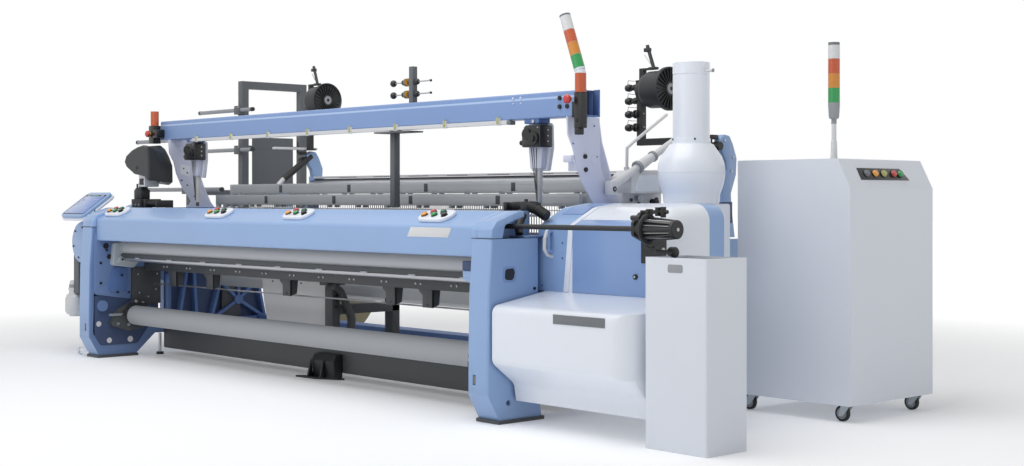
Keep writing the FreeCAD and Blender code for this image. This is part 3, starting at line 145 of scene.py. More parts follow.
def mixPaint(name, colour, rough=0.4, metal=0.0, coat=0.0, patch=0.05, grain=0.15,
             stretch=(1, 1, 1), grime=0.0):
    # a coat of paint, plastic or bare metal: soft patches, fine grain and grime near the floor
    material = bpy.data.materials.new(name)
    shader = Shader(material)
    surface = shader.surface
    cloud = shader.noise(coating["patchScale"], 3.0)
    tint = shader.mixed(cloud, shaded(colour, 1 - patch), shaded(colour, 1 + patch))
    if grime:
        foot = (coating["grimeTop"] - shader.height()) * coating["grimeFade"]
        foot = (foot * shader.noise(coating["grimeScale"], 4.0)).clamp() * grime
        tint = shader.mixed(foot, tint, coating["grimeTone"])
    fine = shader.noise(coating["grainScale"], 1.0, stretch)
    gloss = (cloud - 0.5) * coating["patchGloss"]
    shader.feed(surface.inputs["Base Color"], tint)
    shader.feed(surface.inputs["Roughness"], rough + gloss + (fine - 0.5) * grain)
    shader.feed(surface.inputs["Metallic"], metal)
    shader.feed(surface.inputs["Coat Weight"], coat)
    shader.feed(surface.inputs["Normal"], shader.bump(fine, grain, coating["relief"]))
    return material


paint = {
    "blue": mixPaint("blueEnamel", tone(143, 173, 216), 0.36, coat=0.2, grime=0.25),
    # painted highlight: the blue paint made paler for the lit top and a bright line on the overhead beam
    "highlightBlue": mixPaint("highlightBlueEnamel", tone(176, 200, 235), 0.34, coat=0.2),
    # painted shade: the blue paint made darker for faces in shade, such as the front of the overhead
    # beam
    "shadeBlue": mixPaint("shadeBlueEnamel", tone(126, 154, 202), 0.4, coat=0.15),
    # painted shade: the blue paint made darker for inner faces of the frames that lie in shade
    "innerShadeBlue": mixPaint("innerShadeEnamel", tone(104, 130, 176), 0.5, grime=0.3),
    # painted shade: the blue paint made much darker for hollows and parts deep in shade
    "deepShadeBlue": mixPaint("deepShadeEnamel", tone(52, 70, 106), 0.55, grime=0.2),
    "cloth": mixPaint("clothSleeve", tone(164, 167, 170), 0.6, patch=0.03, stretch=(40, 1, 1)),
    "casting": mixPaint("greyCasting", tone(176, 184, 190), 0.5, grain=0.3),
    "panel": mixPaint("panelEnamel", tone(134, 164, 212), 0.36, coat=0.2),
    "castBlue": mixPaint("castBlueEnamel", tone(84, 114, 168), 0.5, grime=0.3, grain=0.3),
    "white": mixPaint("whiteEnamel", tone(232, 237, 246), 0.3, coat=0.3, patch=0.02),
    "lilac": mixPaint("lilacEnamel", tone(214, 218, 238), 0.4, patch=0.03),
    "case": mixPaint("caseEnamel", tone(222, 227, 236), 0.42, patch=0.02, grain=0.25),
    "dark": mixPaint("darkEnamel", tone(70, 73, 76), 0.5, grain=0.25, grime=0.2),
    "stand": mixPaint("standEnamel", tone(92, 96, 100), 0.5),
    "black": mixPaint("blackPlastic", tone(24, 25, 27), 0.5, grain=0.3),
    "gloss": mixPaint("glossBlack", tone(15, 15, 17), 0.34, coat=0.1),
    "shell": mixPaint("darkShell", tone(34, 37, 40), 0.45, grain=0.3),
    "steel": mixPaint("groundSteel", tone(186, 188, 192), 0.32, metal=0.85, stretch=(1, 30, 30)),
    "roller": mixPaint("rollerSleeve", tone(186, 188, 191), 0.55, patch=0.03, stretch=(40, 1, 1)),
    "alloy": mixPaint("alloyRail", tone(188, 191, 194), 0.5, metal=0.2, stretch=(0.05, 1, 1)),
    "olive": mixPaint("flangePaint", tone(126, 120, 96), 0.45),
    "rubber": mixPaint("casterRubber", tone(32, 32, 34), 0.7),
    "grey": mixPaint("greyPaint", tone(150, 153, 158), 0.5),
    "darkGrey": mixPaint("plateGrey", tone(112, 116, 120), 0.5),
    "orangeRed": mixPaint("orangeRedLens", tone(192, 84, 42), 0.3, coat=0.3, patch=0.02),
    "orange": mixPaint("orangeLens", tone(204, 132, 44), 0.3, coat=0.3, patch=0.02),
    "amber": mixPaint("amberButton", tone(236, 160, 50), 0.25, coat=0.3, patch=0.02),
    "red": mixPaint("redButton", tone(196, 52, 52), 0.25, coat=0.3, patch=0.02),
    "green": mixPaint("greenButton", tone(36, 150, 78), 0.25, coat=0.3, patch=0.02),
    "darkGreen": mixPaint("darkGreenButton", tone(24, 96, 52), 0.25, coat=0.3, patch=0.02),
    "yellow": mixPaint("yellowClip", tone(176, 176, 116), 0.5),
    "lens": mixPaint("whiteLens", tone(214, 215, 217), 0.3, coat=0.3, patch=0.02),
    "screen": mixPaint("screenGlass", tone(84, 128, 204), 0.12, coat=0.4, patch=0.03),
}
print("power loom: finishes mixed")


class Piece:
    # a mesh in the making, in the loom's own metres: x from the middle, y from the front, z up
    def __init__(self, name, body="loom"):
        self.name = name
        self.body = body
        self.mesh = bmesh.new()
        self.paints = []
        self.index = 0
        self.stance = Matrix.Identity(4)

    def use(self, kind):
        if kind not in self.paints:
            self.paints.append(kind)
        self.index = self.paints.index(kind)
        return self

    def stand(self, place=(0, 0, 0), axis="X", turn=0.0):
        # what is made next is drawn round this place and turned about this axis
        self.stance = Matrix.Translation(place) @ Matrix.Rotation(turn, 4, axis)
        return self

    def taken(self, verts):
        bmesh.ops.transform(self.mesh, matrix=self.stance, verts=list(verts))
        for vert in verts:
            for face in vert.link_faces:
                face.material_index = self.index

    def soften(self, verts, width, segments=2):
        # only edges that turn by more than 0.6 radians, so rounded corners stay as they are
        edges = {edge for vert in verts for edge in vert.link_edges}
        sharp = [e for e in edges if e.is_manifold and e.calc_face_angle(0) > 0.6]
        bmesh.ops.bevel(self.mesh, geom=sharp, offset=width, offset_type="OFFSET",
                        segments=segments, profile=0.5, affect="EDGES", material=-1,
                        clamp_overlap=True)

    def block(self, low, high, bevel=0.0, segments=2):
        made = bmesh.ops.create_cube(self.mesh, size=1)["verts"]
        low, high = Vector(low), Vector(high)
        bmesh.ops.scale(self.mesh, vec=high - low, verts=made)
        bmesh.ops.translate(self.mesh, vec=(low + high) / 2, verts=made)
        self.taken(made)
        if bevel:
            self.soften(made, bevel, segments)
        return self

    def prism(self, axis, start, end, outline, bevel=0.0, segments=2):
        # axis 0, 1 or 2 is the way it is pushed; the outline gives the other two in order
        def spot(point):
            place = list(point[:2])
            place.insert(axis, start)
            return Vector(place)

        corners = [self.mesh.verts.new(spot(point)) for point in rounded(outline)]
        base = self.mesh.faces.new(corners)
        push = Vector((0, 0, 0))
        push[axis] = end - start
        grown = bmesh.ops.extrude_face_region(self.mesh, geom=[base])["geom"]
        moved = [part for part in grown if isinstance(part, bmesh.types.BMVert)]
        bmesh.ops.translate(self.mesh, vec=push, verts=moved)
        faces = {face for vert in corners + moved for face in vert.link_faces}
        bmesh.ops.recalc_face_normals(self.mesh, faces=list(faces))
        self.taken(corners + moved)
        if bevel:
            self.soften(corners + moved, bevel, segments)
        return self

    def rod(self, start, end, radius, steps=20, far=None):
        start, end = Vector(start), Vector(end)
        way = end - start
        turn = way.to_track_quat("Z", "Y").to_matrix().to_4x4()
        made = bmesh.ops.create_cone(
            self.mesh, cap_ends=True, segments=steps, radius1=radius,
            radius2=radius if far is None else far, depth=way.length,
            matrix=Matrix.Translation((start + end) / 2) @ turn)["verts"]
        self.taken(made)
        return self

    def bolt(self, place, axis, size=0.009, sides=8):
        # a bolt head standing off the face that it holds, out along +axis or -axis
        way = Vector((0, 0, 0))
        way[abs(axis) - 1] = math.copysign(1, axis)
        place = Vector(place)
        self.rod(place - way * size * 0.3, place + way * size * 0.7, size, sides)
        return self.rod(place, place + way * size * 0.85, size * 0.55, sides)

    def bolts(self, axis, level, spots, size=0.009, sides=8):
        # bolt heads on one plane across the axis, with the other two ways of each spot in order
        for spot in spots:
            place = list(spot)
            place.insert(abs(axis) - 1, level)
            self.bolt(place, axis, size, sides)
        return self

    def strut(self, axis, start, end, first, second, width):
        # a flat bar between two points of the plane across the axis
        first, second = Vector(first), Vector(second)
        way = (second - first).normalized() * width / 2
        side = Vector((-way.y, way.x))
        outline = [first - side, second - side, second + side, first + side]
        return self.prism(axis, start, end, outline)

    def ball(self, centre, radius, steps=12):
        made = bmesh.ops.create_uvsphere(self.mesh, u_segments=steps * 2, v_segments=steps,
                                         radius=radius,
                                         matrix=Matrix.Translation(centre))["verts"]
        self.taken(made)
        return self

    def hose(self, points, radius, steps=10):
        for start, end in zip(points, points[1:]):
            self.rod(start, end, radius, steps)
        for point in points[1:-1]:
            self.ball(point, radius, max(4, steps // 2))
        return self

    def lathe(self, centre, axis, profile, steps=48):
        # the profile gives distance along the axis and radius, and is spun round it
        way = Vector((0, 0, 0))
        way[axis] = 1
        side = Vector((0, 0, 0))
        side[(axis + 1) % 3] = 1
        centre = Vector(centre)
        earlier = set(self.mesh.verts)
        verts = [self.mesh.verts.new(centre + way * along + side * radius)
                 for along, radius in rounded(profile, closed=False)]
        edges = [self.mesh.edges.new(pair) for pair in zip(verts, verts[1:])]
        bmesh.ops.spin(self.mesh, geom=verts + edges, cent=centre, axis=way, dvec=(0, 0, 0),
                       angle=math.tau, steps=steps, use_merge=True, use_duplicate=False)
        fresh = [vert for vert in self.mesh.verts if vert not in earlier]
        bmesh.ops.remove_doubles(self.mesh, verts=fresh, dist=0.00001)
        fresh = [vert for vert in self.mesh.verts if vert not in earlier]
        faces = {face for vert in fresh for face in vert.link_faces}
        bmesh.ops.recalc_face_normals(self.mesh, faces=list(faces))
        self.taken(fresh)
        return self

    def loft(self, rings):
        # a skin over closed rings of equal count, with both ends shut
        rows = [[self.mesh.verts.new(spot) for spot in ring] for ring in rings]
        faces = [self.mesh.faces.new(rows[0]), self.mesh.faces.new(rows[-1])]
        for low, high in zip(rows, rows[1:]):
            for number in range(len(low)):
                after = (number + 1) % len(low)
                faces.append(self.mesh.faces.new((low[number], low[after], high[after],
                                                  high[number])))
        bmesh.ops.recalc_face_normals(self.mesh, faces=faces)
        self.taken([vert for row in rows for vert in row])
        return self

    def tint(self, kind, chosen):
        # paints the faces that are chosen in another finish
        self.use(kind)
        self.mesh.normal_update()
        for face in self.mesh.faces:
            if chosen(face):
                face.material_index = self.index
        return self

    def drop(self, chosen):
        gone = [vert for vert in self.mesh.verts if chosen(vert.co)]
        bmesh.ops.delete(self.mesh, geom=gone, context="VERTS")
        return self

    def copyOf(self, node):
        # the CAD solid, its triangles joined and its flat faces made whole
        cad = bmesh.new()
        cad.from_mesh(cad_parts[node].data)
        bmesh.ops.remove_doubles(cad, verts=cad.verts, dist=0.00002)
        bmesh.ops.dissolve_limit(cad, angle_limit=0.01, verts=cad.verts, edges=cad.edges)
        bmesh.ops.translate(cad, vec=-loomShift, verts=cad.verts)
        for face in cad.faces:
            face.material_index = self.index
        holder = bpy.data.meshes.new("holder")
        cad.to_mesh(holder)
        cad.free()
        self.mesh.from_mesh(holder)
        bpy.data.meshes.remove(holder)
        return self

    def done(self, *replaced, bevel=0.0, segments=2, crease=35):
        bmesh.ops.translate(self.mesh, vec=loomShift, verts=self.mesh.verts)
        data = bpy.data.meshes.new(self.name)
        self.mesh.to_mesh(data)
        self.mesh.free()
        for kind in self.paints:
            data.materials.append(paint[kind])
        data.polygons.foreach_set("use_smooth", [True] * len(data.polygons))
        data.set_sharp_from_angle(angle=math.radians(crease))
        item = bpy.data.objects.new(self.name, data)
        bpy.context.scene.collection.objects.link(item)
        if bevel:
            edge = item.modifiers.new("edge", "BEVEL")
            edge.width = bevel
            edge.segments = segments
            edge.limit_method = "ANGLE"
            edge.angle_limit = math.radians(crease)
            edge.harden_normals = True
        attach(item, self.body)
        if replaced:
            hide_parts(*replaced)
        return item


def rounded(outline, closed=True, steps=6):
    # a corner with a third number is rounded to that radius
    points = [Vector(point[:2]) for point in outline]
    count = len(points)
    result = []
    for number, point in enumerate(outline):
        here = points[number]
        inner = 0 < number < count - 1
        if len(point) < 3 or not (closed or inner):
            result.append(here)
            continue
        before = (points[number - 1] - here).normalized()
        after = (points[(number + 1) % count] - here).normalized()
        half = before.angle(after) / 2
        centre = here + (before + after).normalized() * (point[2] / math.sin(half))
        start = here + before * (point[2] / math.tan(half)) - centre
        end = here + after * (point[2] / math.tan(half)) - centre
        sweep = start.angle_signed(end)
        for step in range(steps + 1):
            turn = Matrix.Rotation(-sweep * step / steps, 2)
            result.append(centre + turn @ start)
    return result


def cornered(low, high, radius):
    # a rectangle's outline with every corner rounded
    return [(low[0], low[1], radius), (high[0], low[1], radius), (high[0], high[1], radius),
            (low[0], high[1], radius)]


def span(side, near, far):
    # two distances from the middle on one side of the loom, the lower x first
    return sorted((side * near, side * far))


def dressed(node, kind, body="loom", bevel=0.002):
    # the solid itself in one finish, with its edges softened
    Piece(node, body).use(kind).copyOf(node).done(node, bevel=bevel)


# solids that are seen in their own form, and the plain beam across the back
def dressSolids():
    plain = {
        "right_frame": "blue", "front_crossbeam": "dark", "roller_brackets": "dark",
        "lamp_rail": "lens",
    }
    for node, kind in plain.items():
        dressed(node, kind)
    moving = {
        "take_up_roller": ("take_up", "roller"), "press_roller": ("press", "steel"),
        "cloth_roller": ("cloth", "cloth"), "back_rest_roller": ("back_rest", "steel"),
        "sley": ("sley", "dark"), "reed": ("sley", "steel"),
        "right_rapier_wheel": ("right_rapier", "steel"),
        "left_rapier_wheel": ("left_rapier", "steel"),
    }
    for node, (body, kind) in moving.items():
        dressed(node, kind, body, bevel=0.001)
    side = Piece("leftFrame").use("blue").copyOf("left_frame")
    # the inner face of the left frame is painted darker, as painted shade
    side.tint("innerShadeBlue", lambda face: face.normal.x > 0.5)
    side.done("left_frame", bevel=0.002)
    rear = Piece("rearCrossbeam").use("castBlue")
    rear.block((-2.0, 1.250, 0.170), (2.0, 1.390, 0.240), 0.006)
    rear.use("black").bolts(-2, 1.250, ((-1.93, 0.205), (1.93, 0.205)), 0.012)
    rear.done("rear_crossbeam")
    print("power loom: solids dressed")


# the outer feet keep their own form, and the middle one is a ribbed casting on a floor plate
def makeFeet():
    middle = {"left": -0.062, "right": 0.168, "plate": 0.012, "rib": 0.014}
    feet = Piece("frameFeet").use("dark").copyOf("frame_feet").drop(lambda spot: abs(spot.x) < 1)
    feet.use("black").prism(2, 0.0, middle["plate"], [
        (-0.170, 0.385), (0.020, 0.400), (0.190, 0.498), (-0.060, 0.498)], 0.002)
    feet.prism(0, middle["left"], middle["right"], [
        (0.500, 0.010), (0.440, 0.010), (0.430, 0.110, 0.02), (0.450, 0.152, 0.02),
        (0.500, 0.156)], 0.006)
    for x in (-0.070, 0.060):
        feet.prism(0, x, x + middle["rib"], [(0.440, 0.012), (0.400, 0.012), (0.425, 0.120)], 0.001)
        feet.use("steel").bolt((x + middle["rib"] / 2, 0.425, 0.085), -2, 0.007).use("black")
    feet.use("grey").block((-0.110, 0.410, 0.0118), (-0.075, 0.440, 0.0130), 0.0005)
    feet.done("frame_feet", bevel=0.002)
    print("power loom: feet made")


# the cover across the front, folded from one sheet, and a dark rail with clips before the roller under
# it, as painted shade for the gap there
def makeFrontCover():
    fold = {"front": -coverLip, "low": 0.813, "crease": 0.962, "crest": 0.140, "back": 0.300,
            "top": 1.040, "sheet": 0.005, "lip": 0.070, "hem": 0.040}
    front, low, crease, top = fold["front"], fold["low"], fold["crease"], fold["top"]
    crest, back, sheet, hem = fold["crest"], fold["back"], fold["sheet"], fold["hem"]
    cover = Piece("frontCover").use("blue")
    cover.prism(0, -2.0, 2.0, [
        (fold["lip"], low), (front, low, 0.012), (front, crease, 0.028), (crest, top, 0.028),
        (back, top), (back, top - hem), (back - sheet, top - hem), (back - sheet, top - sheet),
        (crest + 0.001, top - sheet, 0.023), (front + sheet, crease - 0.003, 0.023),
        (front + sheet, low + sheet, 0.007), (fold["lip"], low + sheet)])
    cover.done("front_cover", crease=50)
    rail = {"clips": 9, "first": -1.72, "pitch": 0.43, "half": 0.030}
    guard = Piece("rollerShadeRail").use("dark")
    # the dark rail is painted shade for the gap between the roller and the cover
    guard.block((-1.998, 0.140, 0.694), (1.998, 0.146, 0.722), 0.001)
    guard.use("roller")
    for number in range(rail["clips"]):
        x = rail["first"] + rail["pitch"] * number
        guard.block((x - rail["half"], 0.138, 0.689), (x + rail["half"], 0.1475, 0.697), 0.001)
    guard.done()
    print("power loom: front cover made")


# end caps with their seams, and the slots, the small plates and the bolts on the side frames
def makeFrameTrim():
    trim = {"inner": 2.0, "outer": 2.15, "seam": 0.906, "top": 1.040, "strip": 2.042}
    inner, outer, seam, top = trim["inner"], trim["outer"], trim["seam"], trim["top"]
    caps = Piece("coverCaps").use("blue")
    whole = [(-0.049, seam), (-0.047, 0.950, 0.02), (-0.015, 0.990, 0.02), (0.130, top, 0.02),
             (0.300, top), (0.300, seam)]
    caps.prism(0, -outer, -inner, whole, 0.006, 3)
    caps.prism(0, inner, trim["strip"], whole, 0.003)
    caps.prism(0, trim["strip"] - 0.002, outer, [
        *whole[:4], (0.168, top, 0.006), (0.170, 1.013, 0.008), (0.085, 0.986, 0.02),
        (0.043, 0.972, 0.02), (0.026, seam)], 0.006, 3)
    caps.use("black")
    for side in (-1, 1):
        left, right = span(side, inner - 0.001, outer + 0.0006)
        caps.block((left, -0.0505, seam - 0.001), (right, 0.299, seam + 0.001))
        left, right = span(side, inner - 0.0025, inner - 0.0005)
        caps.prism(0, left, right, [(-0.0205, 0.795), (-0.0205, 0.955), (0.137, 1.0405),
                                    (0.299, 1.0405), (0.299, 1.03), (0.139, 1.03),
                                    (-0.012, 0.955), (-0.012, 0.795)])
    # a block in the notch of the right cap is painted darker, as painted shade
    caps.use("innerShadeBlue").block((2.041, 0.168, seam), (2.149, 0.299, seam + 0.012), 0.002)
    caps.done("cover_end_caps")
    # a black sheet on the right column's side is painted shade in its window
    face = Piece("columnTrim").use("black")
    face.prism(0, outer + 0.0010, outer + 0.0022, [
        (0.036, 0.705, 0.014), (0.092, 0.699, 0.022), (0.103, 0.738, 0.014), (0.094, 0.760, 0.014),
        (0.040, 0.756, 0.014)])
    face.use("darkGrey")
    for side in (-1, 1):
        left, right = span(side, trim["strip"], 2.060)
        face.block((left, -0.0735, 0.193), (right, -0.0675, 0.237), 0.002)
    # a ring of darker blue round the window, as painted shade
    face.use("shadeBlue").prism(0, outer - 0.001, outer + 0.0012,
                               cornered((0.024, 0.690), (0.112, 0.770), 0.02), 0.001)
    face.use("black").bolts(1, outer, ((0.235, 0.655), (0.235, 0.29)), 0.008)
    face.done()
    print("power loom: frame trim made")


# what is seen past the rollers on the inner faces of the side frames
def makeLeftInside():
    inside = {"face": -2.0, "plate": 0.010, "pad": 0.014, "bolt": 0.009, "rib": 0.022, "deep": 0.05}
    face = inside["face"]
    out = face + inside["plate"]
    # the inner plate is painted in the darker inner blue, as painted shade
    cheek = Piece("leftInnerPlate").use("innerShadeBlue")
    cheek.prism(0, face - 0.03, out, [(-0.040, 0.44, 0.03), (0.235, 0.40), (0.240, 0.86),
                                      (-0.036, 0.86, 0.02)], 0.003)
    cheek.use("castBlue")
    cheek.prism(0, out - 0.002, out + inside["pad"], [
        (0.06, 0.46, 0.02), (0.20, 0.45, 0.02), (0.21, 0.62, 0.03), (0.10, 0.63, 0.03)], 0.003)
    cheek.use("black").bolts(1, out, ((0.052, 0.746), (0.075, 0.697), (0.007, 0.657), (0.007, 0.518),
                                      (0.220, 0.791), (0.220, 0.447)), inside["bolt"])
    cheek.bolts(1, out + inside["pad"], ((0.128, 0.451), (0.159, 0.569)), inside["bolt"])
    # a dark sheet low on the inner face is painted shade
    cheek.use("deepShadeBlue").prism(0, face - 0.002, face + 0.004, [
        (-0.035, 0.430), (-0.035, 0.160, 0.03), (0.010, 0.085, 0.03), (0.290, 0.085, 0.03),
        (0.455, 0.300), (0.455, 0.430)], 0.001)
    cheek.use("lens")
    for y, z, radius in ((-0.005, 0.236, 0.019), (0.075, 0.118, 0.019), (0.235, 0.118, 0.021)):
        cheek.rod((face + 0.002, y, z), (face + 0.0055, y, z), radius, 20)
    # a round boss, painted darker as painted shade
    cheek.use("innerShadeBlue").rod((face, 0.02, 0.36), (face + 0.02, 0.02, 0.36), 0.038, 24)
    # a grey housing with a round boss, and two dark plugs before it
    cheek.use("casting").prism(0, face, face + 0.055, [
        (0.075, 0.640, 0.02), (0.240, 0.620, 0.02), (0.310, 0.700, 0.03), (0.300, 0.800),
        (0.090, 0.800, 0.02)], 0.008, 3)
    cheek.rod((face, 0.215, 0.765), (face + 0.070, 0.215, 0.765), 0.085, 32)
    cheek.use("black")
    for place, radius in (((0.045, 0.775), 0.020), ((0.070, 0.700), 0.017)):
        cheek.rod((face, *place), (face + 0.016, *place), radius, 18)
    # a dark casting low on the frame, with its cover, its rod and its bolts
    cheek.use("dark").prism(0, face, face + 0.060, [
        (0.060, 0.225, 0.02), (0.200, 0.180, 0.02), (0.320, 0.200, 0.02), (0.345, 0.330, 0.02),
        (0.250, 0.400, 0.02), (0.120, 0.330, 0.02)], 0.006)
    cheek.use("black").prism(0, face + 0.050, face + 0.085, [
        (0.130, 0.290), (0.300, 0.290), (0.330, 0.370), (0.200, 0.380)], 0.006)
    cheek.use("steel").rod((face + 0.070, 0.040, 0.300), (face + 0.070, 0.200, 0.300), 0.009, 12)
    cheek.bolts(1, face + 0.062, ((0.110, 0.235), (0.190, 0.225), (0.245, 0.385), (0.300, 0.370)), 0.011)
    cheek.use("dark").block((face, 0.245, 0.36), (face + 0.012, 0.47, 0.62), 0.003)
    cheek.use("steel").bolts(1, face + 0.012, ((0.30, 0.44), (0.37, 0.41), (0.43, 0.46), (0.29, 0.57),
                                               (0.44, 0.57)), 0.006)
    cheek.done()
    # the ribs of the casting behind, between lettered corners
    lattice = Piece("leftLattice").use("deepShadeBlue")
    deep = face + inside["deep"]
    # a dark sheet behind the ribs is painted shade inside the casting
    lattice.prism(0, face - 0.004, face + 0.004, [(0.500, 0.210), (1.340, 0.200), (1.300, 0.560),
                                                  (0.760, 0.640), (0.500, 0.620)])
    lattice.use("dark").block((face + 0.004, 0.960, 0.215), (face + 0.030, 1.120, 0.600), 0.004)
    lattice.use("castBlue")
    corners = {"a": (0.52, 0.24), "b": (0.52, 0.56), "c": (0.72, 0.60), "d": (0.74, 0.26),
               "e": (0.86, 0.22), "f": (0.94, 0.50), "g": (1.10, 0.58), "h": (1.26, 0.50),
               "i": (1.32, 0.22), "m": (1.09, 0.36), "p": (0.60, 0.24), "q": (0.66, 0.58)}
    for pair in ("ab", "bc", "cd", "da", "ef", "fg", "gh", "hi", "ie", "me", "mf", "mg", "mh", "mi",
                 "pq"):
        lattice.strut(0, face, deep, corners[pair[0]], corners[pair[1]], inside["rib"])
    lattice.rod((face, *corners["m"]), (deep + 0.006, *corners["m"]), 0.035, 20)
    lattice.use("black").bolts(1, deep, ((0.545, 0.55), (0.545, 0.27), (0.70, 0.57), (0.715, 0.28)),
                               0.008)
    lattice.done(bevel=0.0015)
    # the levers of the press roller, the large one on the right and a short one on the left
    lever = Piece("pressLevers")
    lever.use("blue").prism(1, 0.004, 0.060, [(1.868, 0.742), (1.999, 0.742), (1.999, 0.640),
                                              (1.950, 0.668, 0.03), (1.868, 0.700, 0.02)], 0.008, 3)
    # the top of the lever is painted in the deep shade blue
    lever.use("deepShadeBlue").block((1.870, 0.002, 0.742), (1.999, 0.056, 0.790), 0.004)
    lever.use("black").block((1.900, 0.010, 0.250), (1.999, 0.060, 0.290), 0.006)
    lever.rod((1.900, 0.035, 0.315), (1.999, 0.035, 0.315), 0.020, 16)
    lever.use("casting").prism(0, -1.995, -1.93, [
        (0.11, 0.655, 0.02), (0.30, 0.66, 0.03), (0.31, 0.70, 0.02), (0.12, 0.705, 0.02)], 0.004)
    lever.use("black").bolts(1, -1.93, ((0.14, 0.68), (0.28, 0.68)), 0.008)
    lever.done()
    print("power loom: inner sides made")


# four button pods on the slope of the cover
def makePods():
    pod = {"long": 0.250, "deep": 0.116, "tall": 0.020, "cap": 0.0165, "neck": 0.012, "y": 0.066,
           "places": (-1.850, -0.530, 0.340, 1.600)}
    # the cover slopes from its crease up to its crest
    creaseY, creaseZ, crestY, crestZ = -coverLip, 0.962, 0.140, 1.040
    slope = math.atan2(crestZ - creaseZ, crestY - creaseY)
    height = creaseZ + (pod["y"] - creaseY) * math.tan(slope)
    half, deep = pod["long"] / 2, pod["deep"] / 2
    pods = Piece("buttonPods")
    for x in pod["places"]:
        pods.stand((x, pod["y"], height), "X", slope)
        pods.use("white").prism(2, 0.0, pod["tall"],
                                cornered((-half, -deep), (half, deep), deep * 0.98), 0.006)
        for number, kind in enumerate(("amber", "red", "green", "darkGreen", "gloss")):
            place = (pod["long"] * (0.16 * number - 0.32),
                     pod["deep"] * (0.16 if number % 2 else -0.12), pod["tall"])
            pods.use("gloss").rod(place, (place[0], place[1], place[2] + 0.004), 0.019, 20)
            pods.use(kind).lathe(place, 2, [(0.002, pod["neck"]), (0.007, pod["cap"], 0.002),
                                            (0.015, pod["cap"], 0.005), (0.0165, 0.0)], 16)
    pods.done("button_pods")
    print("power loom: pods made")


# the bare plate on the cover, and the bare plate on the drive cover
def makePlates():
    plate = {"left": 1.455, "right": 1.785, "lean": 0.030, "low": 0.905, "high": 0.955,
             "edge": 0.00045}
    sign = Piece("barePlates").use("lens")
    sign.prism(1, -0.0215, -0.0195, [
        (plate["left"], plate["low"]), (plate["right"], plate["low"]),
        (plate["right"] + plate["lean"], plate["high"]),
        (plate["left"] + plate["lean"], plate["high"])], plate["edge"])
    sign.use("darkGrey").block((2.592, -0.0618, 0.522), (2.925, -0.0595, 0.566), 0.0005)
    sign.done()
    print("power loom: plates made")


# the breast beam with its hangers and screws, and the thin stay rod beneath it
def makeBreastBeam():
    beam = {"front": 0.345, "back": 0.435, "low": 0.600, "high": 0.700, "reach": 2.0,
            "hangers": (-1.60, -1.12, -0.213, 0.837, 1.169), "screwPitch": 0.310, "pair": 0.045}
    front, back, low, high = beam["front"], beam["back"], beam["low"], beam["high"]
    lintel = Piece("breastBeam").use("dark")
    lintel.block((-beam["reach"], front, low), (beam["reach"], back, high), 0.004)
    lintel.block((-1.96, front - 0.012, high - 0.03), (1.96, front + 0.002, high - 0.008), 0.002)
    for middle in beam["hangers"]:
        lintel.prism(1, front + 0.004, front + 0.012, [
            (middle - 0.045, low - 0.100), (middle + 0.045, low - 0.100), (middle + 0.045, low + 0.02),
            (middle - 0.085, low + 0.02), (middle - 0.075, low - 0.012, 0.02),
            (middle - 0.045, low - 0.030, 0.02)], 0.001)
        lintel.prism(0, middle + 0.037, middle + 0.045, [
            (front + 0.004, low - 0.100), (front + 0.050, low - 0.085), (front + 0.060, low + 0.01),
            (front + 0.004, low + 0.01)], 0.001)
        lintel.bolt((middle, front + 0.004, low - 0.085), -2, 0.006)
    lintel.use("lens")
    for number in range(-6, 6):
        x = number * beam["screwPitch"] + 0.14
        lintel.bolts(-2, front, ((x, low + 0.03), (x + beam["pair"], low + 0.03)), 0.006)
    lintel.use("steel").rod((-beam["reach"], 0.420, 0.500), (beam["reach"], 0.420, 0.500), 0.005, 8)
    lintel.done("breast_beam")
    print("power loom: breast beam made")


# the stand in the middle with its saddle, its curved lever and its pale side sheet
def makeCentreStand():
    stand = {"left": -0.120, "right": -0.040, "sheetBack": 0.644, "sheetFront": 0.640}
    left, right = stand["left"], stand["right"]
    post = Piece("centreStand").use("dark")
    post.block((left, 0.570, 0.200), (right, 0.630, 0.566), 0.004)
    post.prism(0, left, right, [(0.530, 0.564), (0.670, 0.564), (0.670, 0.626), (0.651, 0.626),
                                (0.645, 0.600, 0.02), (0.620, 0.572, 0.02), (0.580, 0.572, 0.02),
                                (0.555, 0.600, 0.02), (0.549, 0.626), (0.530, 0.626)], 0.002)
    post.block((left, 0.628, 0.380), (right, 1.100, 0.440), 0.004)
    post.block((left, 1.040, 0.170), (right, 1.102, 0.480), 0.004)
    post.prism(0, right + 0.006, right + 0.05, [(0.66, 0.21), (0.70, 0.21), (0.72, 0.36, 0.10),
                                                (0.62, 0.55, 0.08), (0.56, 0.575), (0.55, 0.545),
                                                (0.60, 0.52, 0.06), (0.68, 0.35, 0.08)], 0.006)
    post.use("black").bolts(1, right, ((0.60, 0.47), (0.60, 0.43), (0.60, 0.50)))
    post.use("lens").prism(1, stand["sheetFront"], stand["sheetBack"], [
        (left, 0.300), (left, 0.570), (left - 0.82, 0.570), (left - 0.80, 0.430, 0.10),
        (left - 0.76, 0.300)])
    post.use("dark").bolts(-2, stand["sheetFront"], ((left - 0.69, 0.556), (left - 0.36, 0.556),
                                                     (left - 0.03, 0.556)), 0.006)
    post.done("centre_stand")
    screw = {"x": -1.964, "y": 0.45}
    x, y = screw["x"], screw["y"]
    foot = Piece("levellingScrew")
    foot.use("steel").rod((x, y, 0.0), (x, y, 0.15), 0.010, 12)
    foot.use("black").rod((x, y, 0.0), (x, y, 0.018), 0.026, 16)
    foot.done()
    print("power loom: centre stand made")


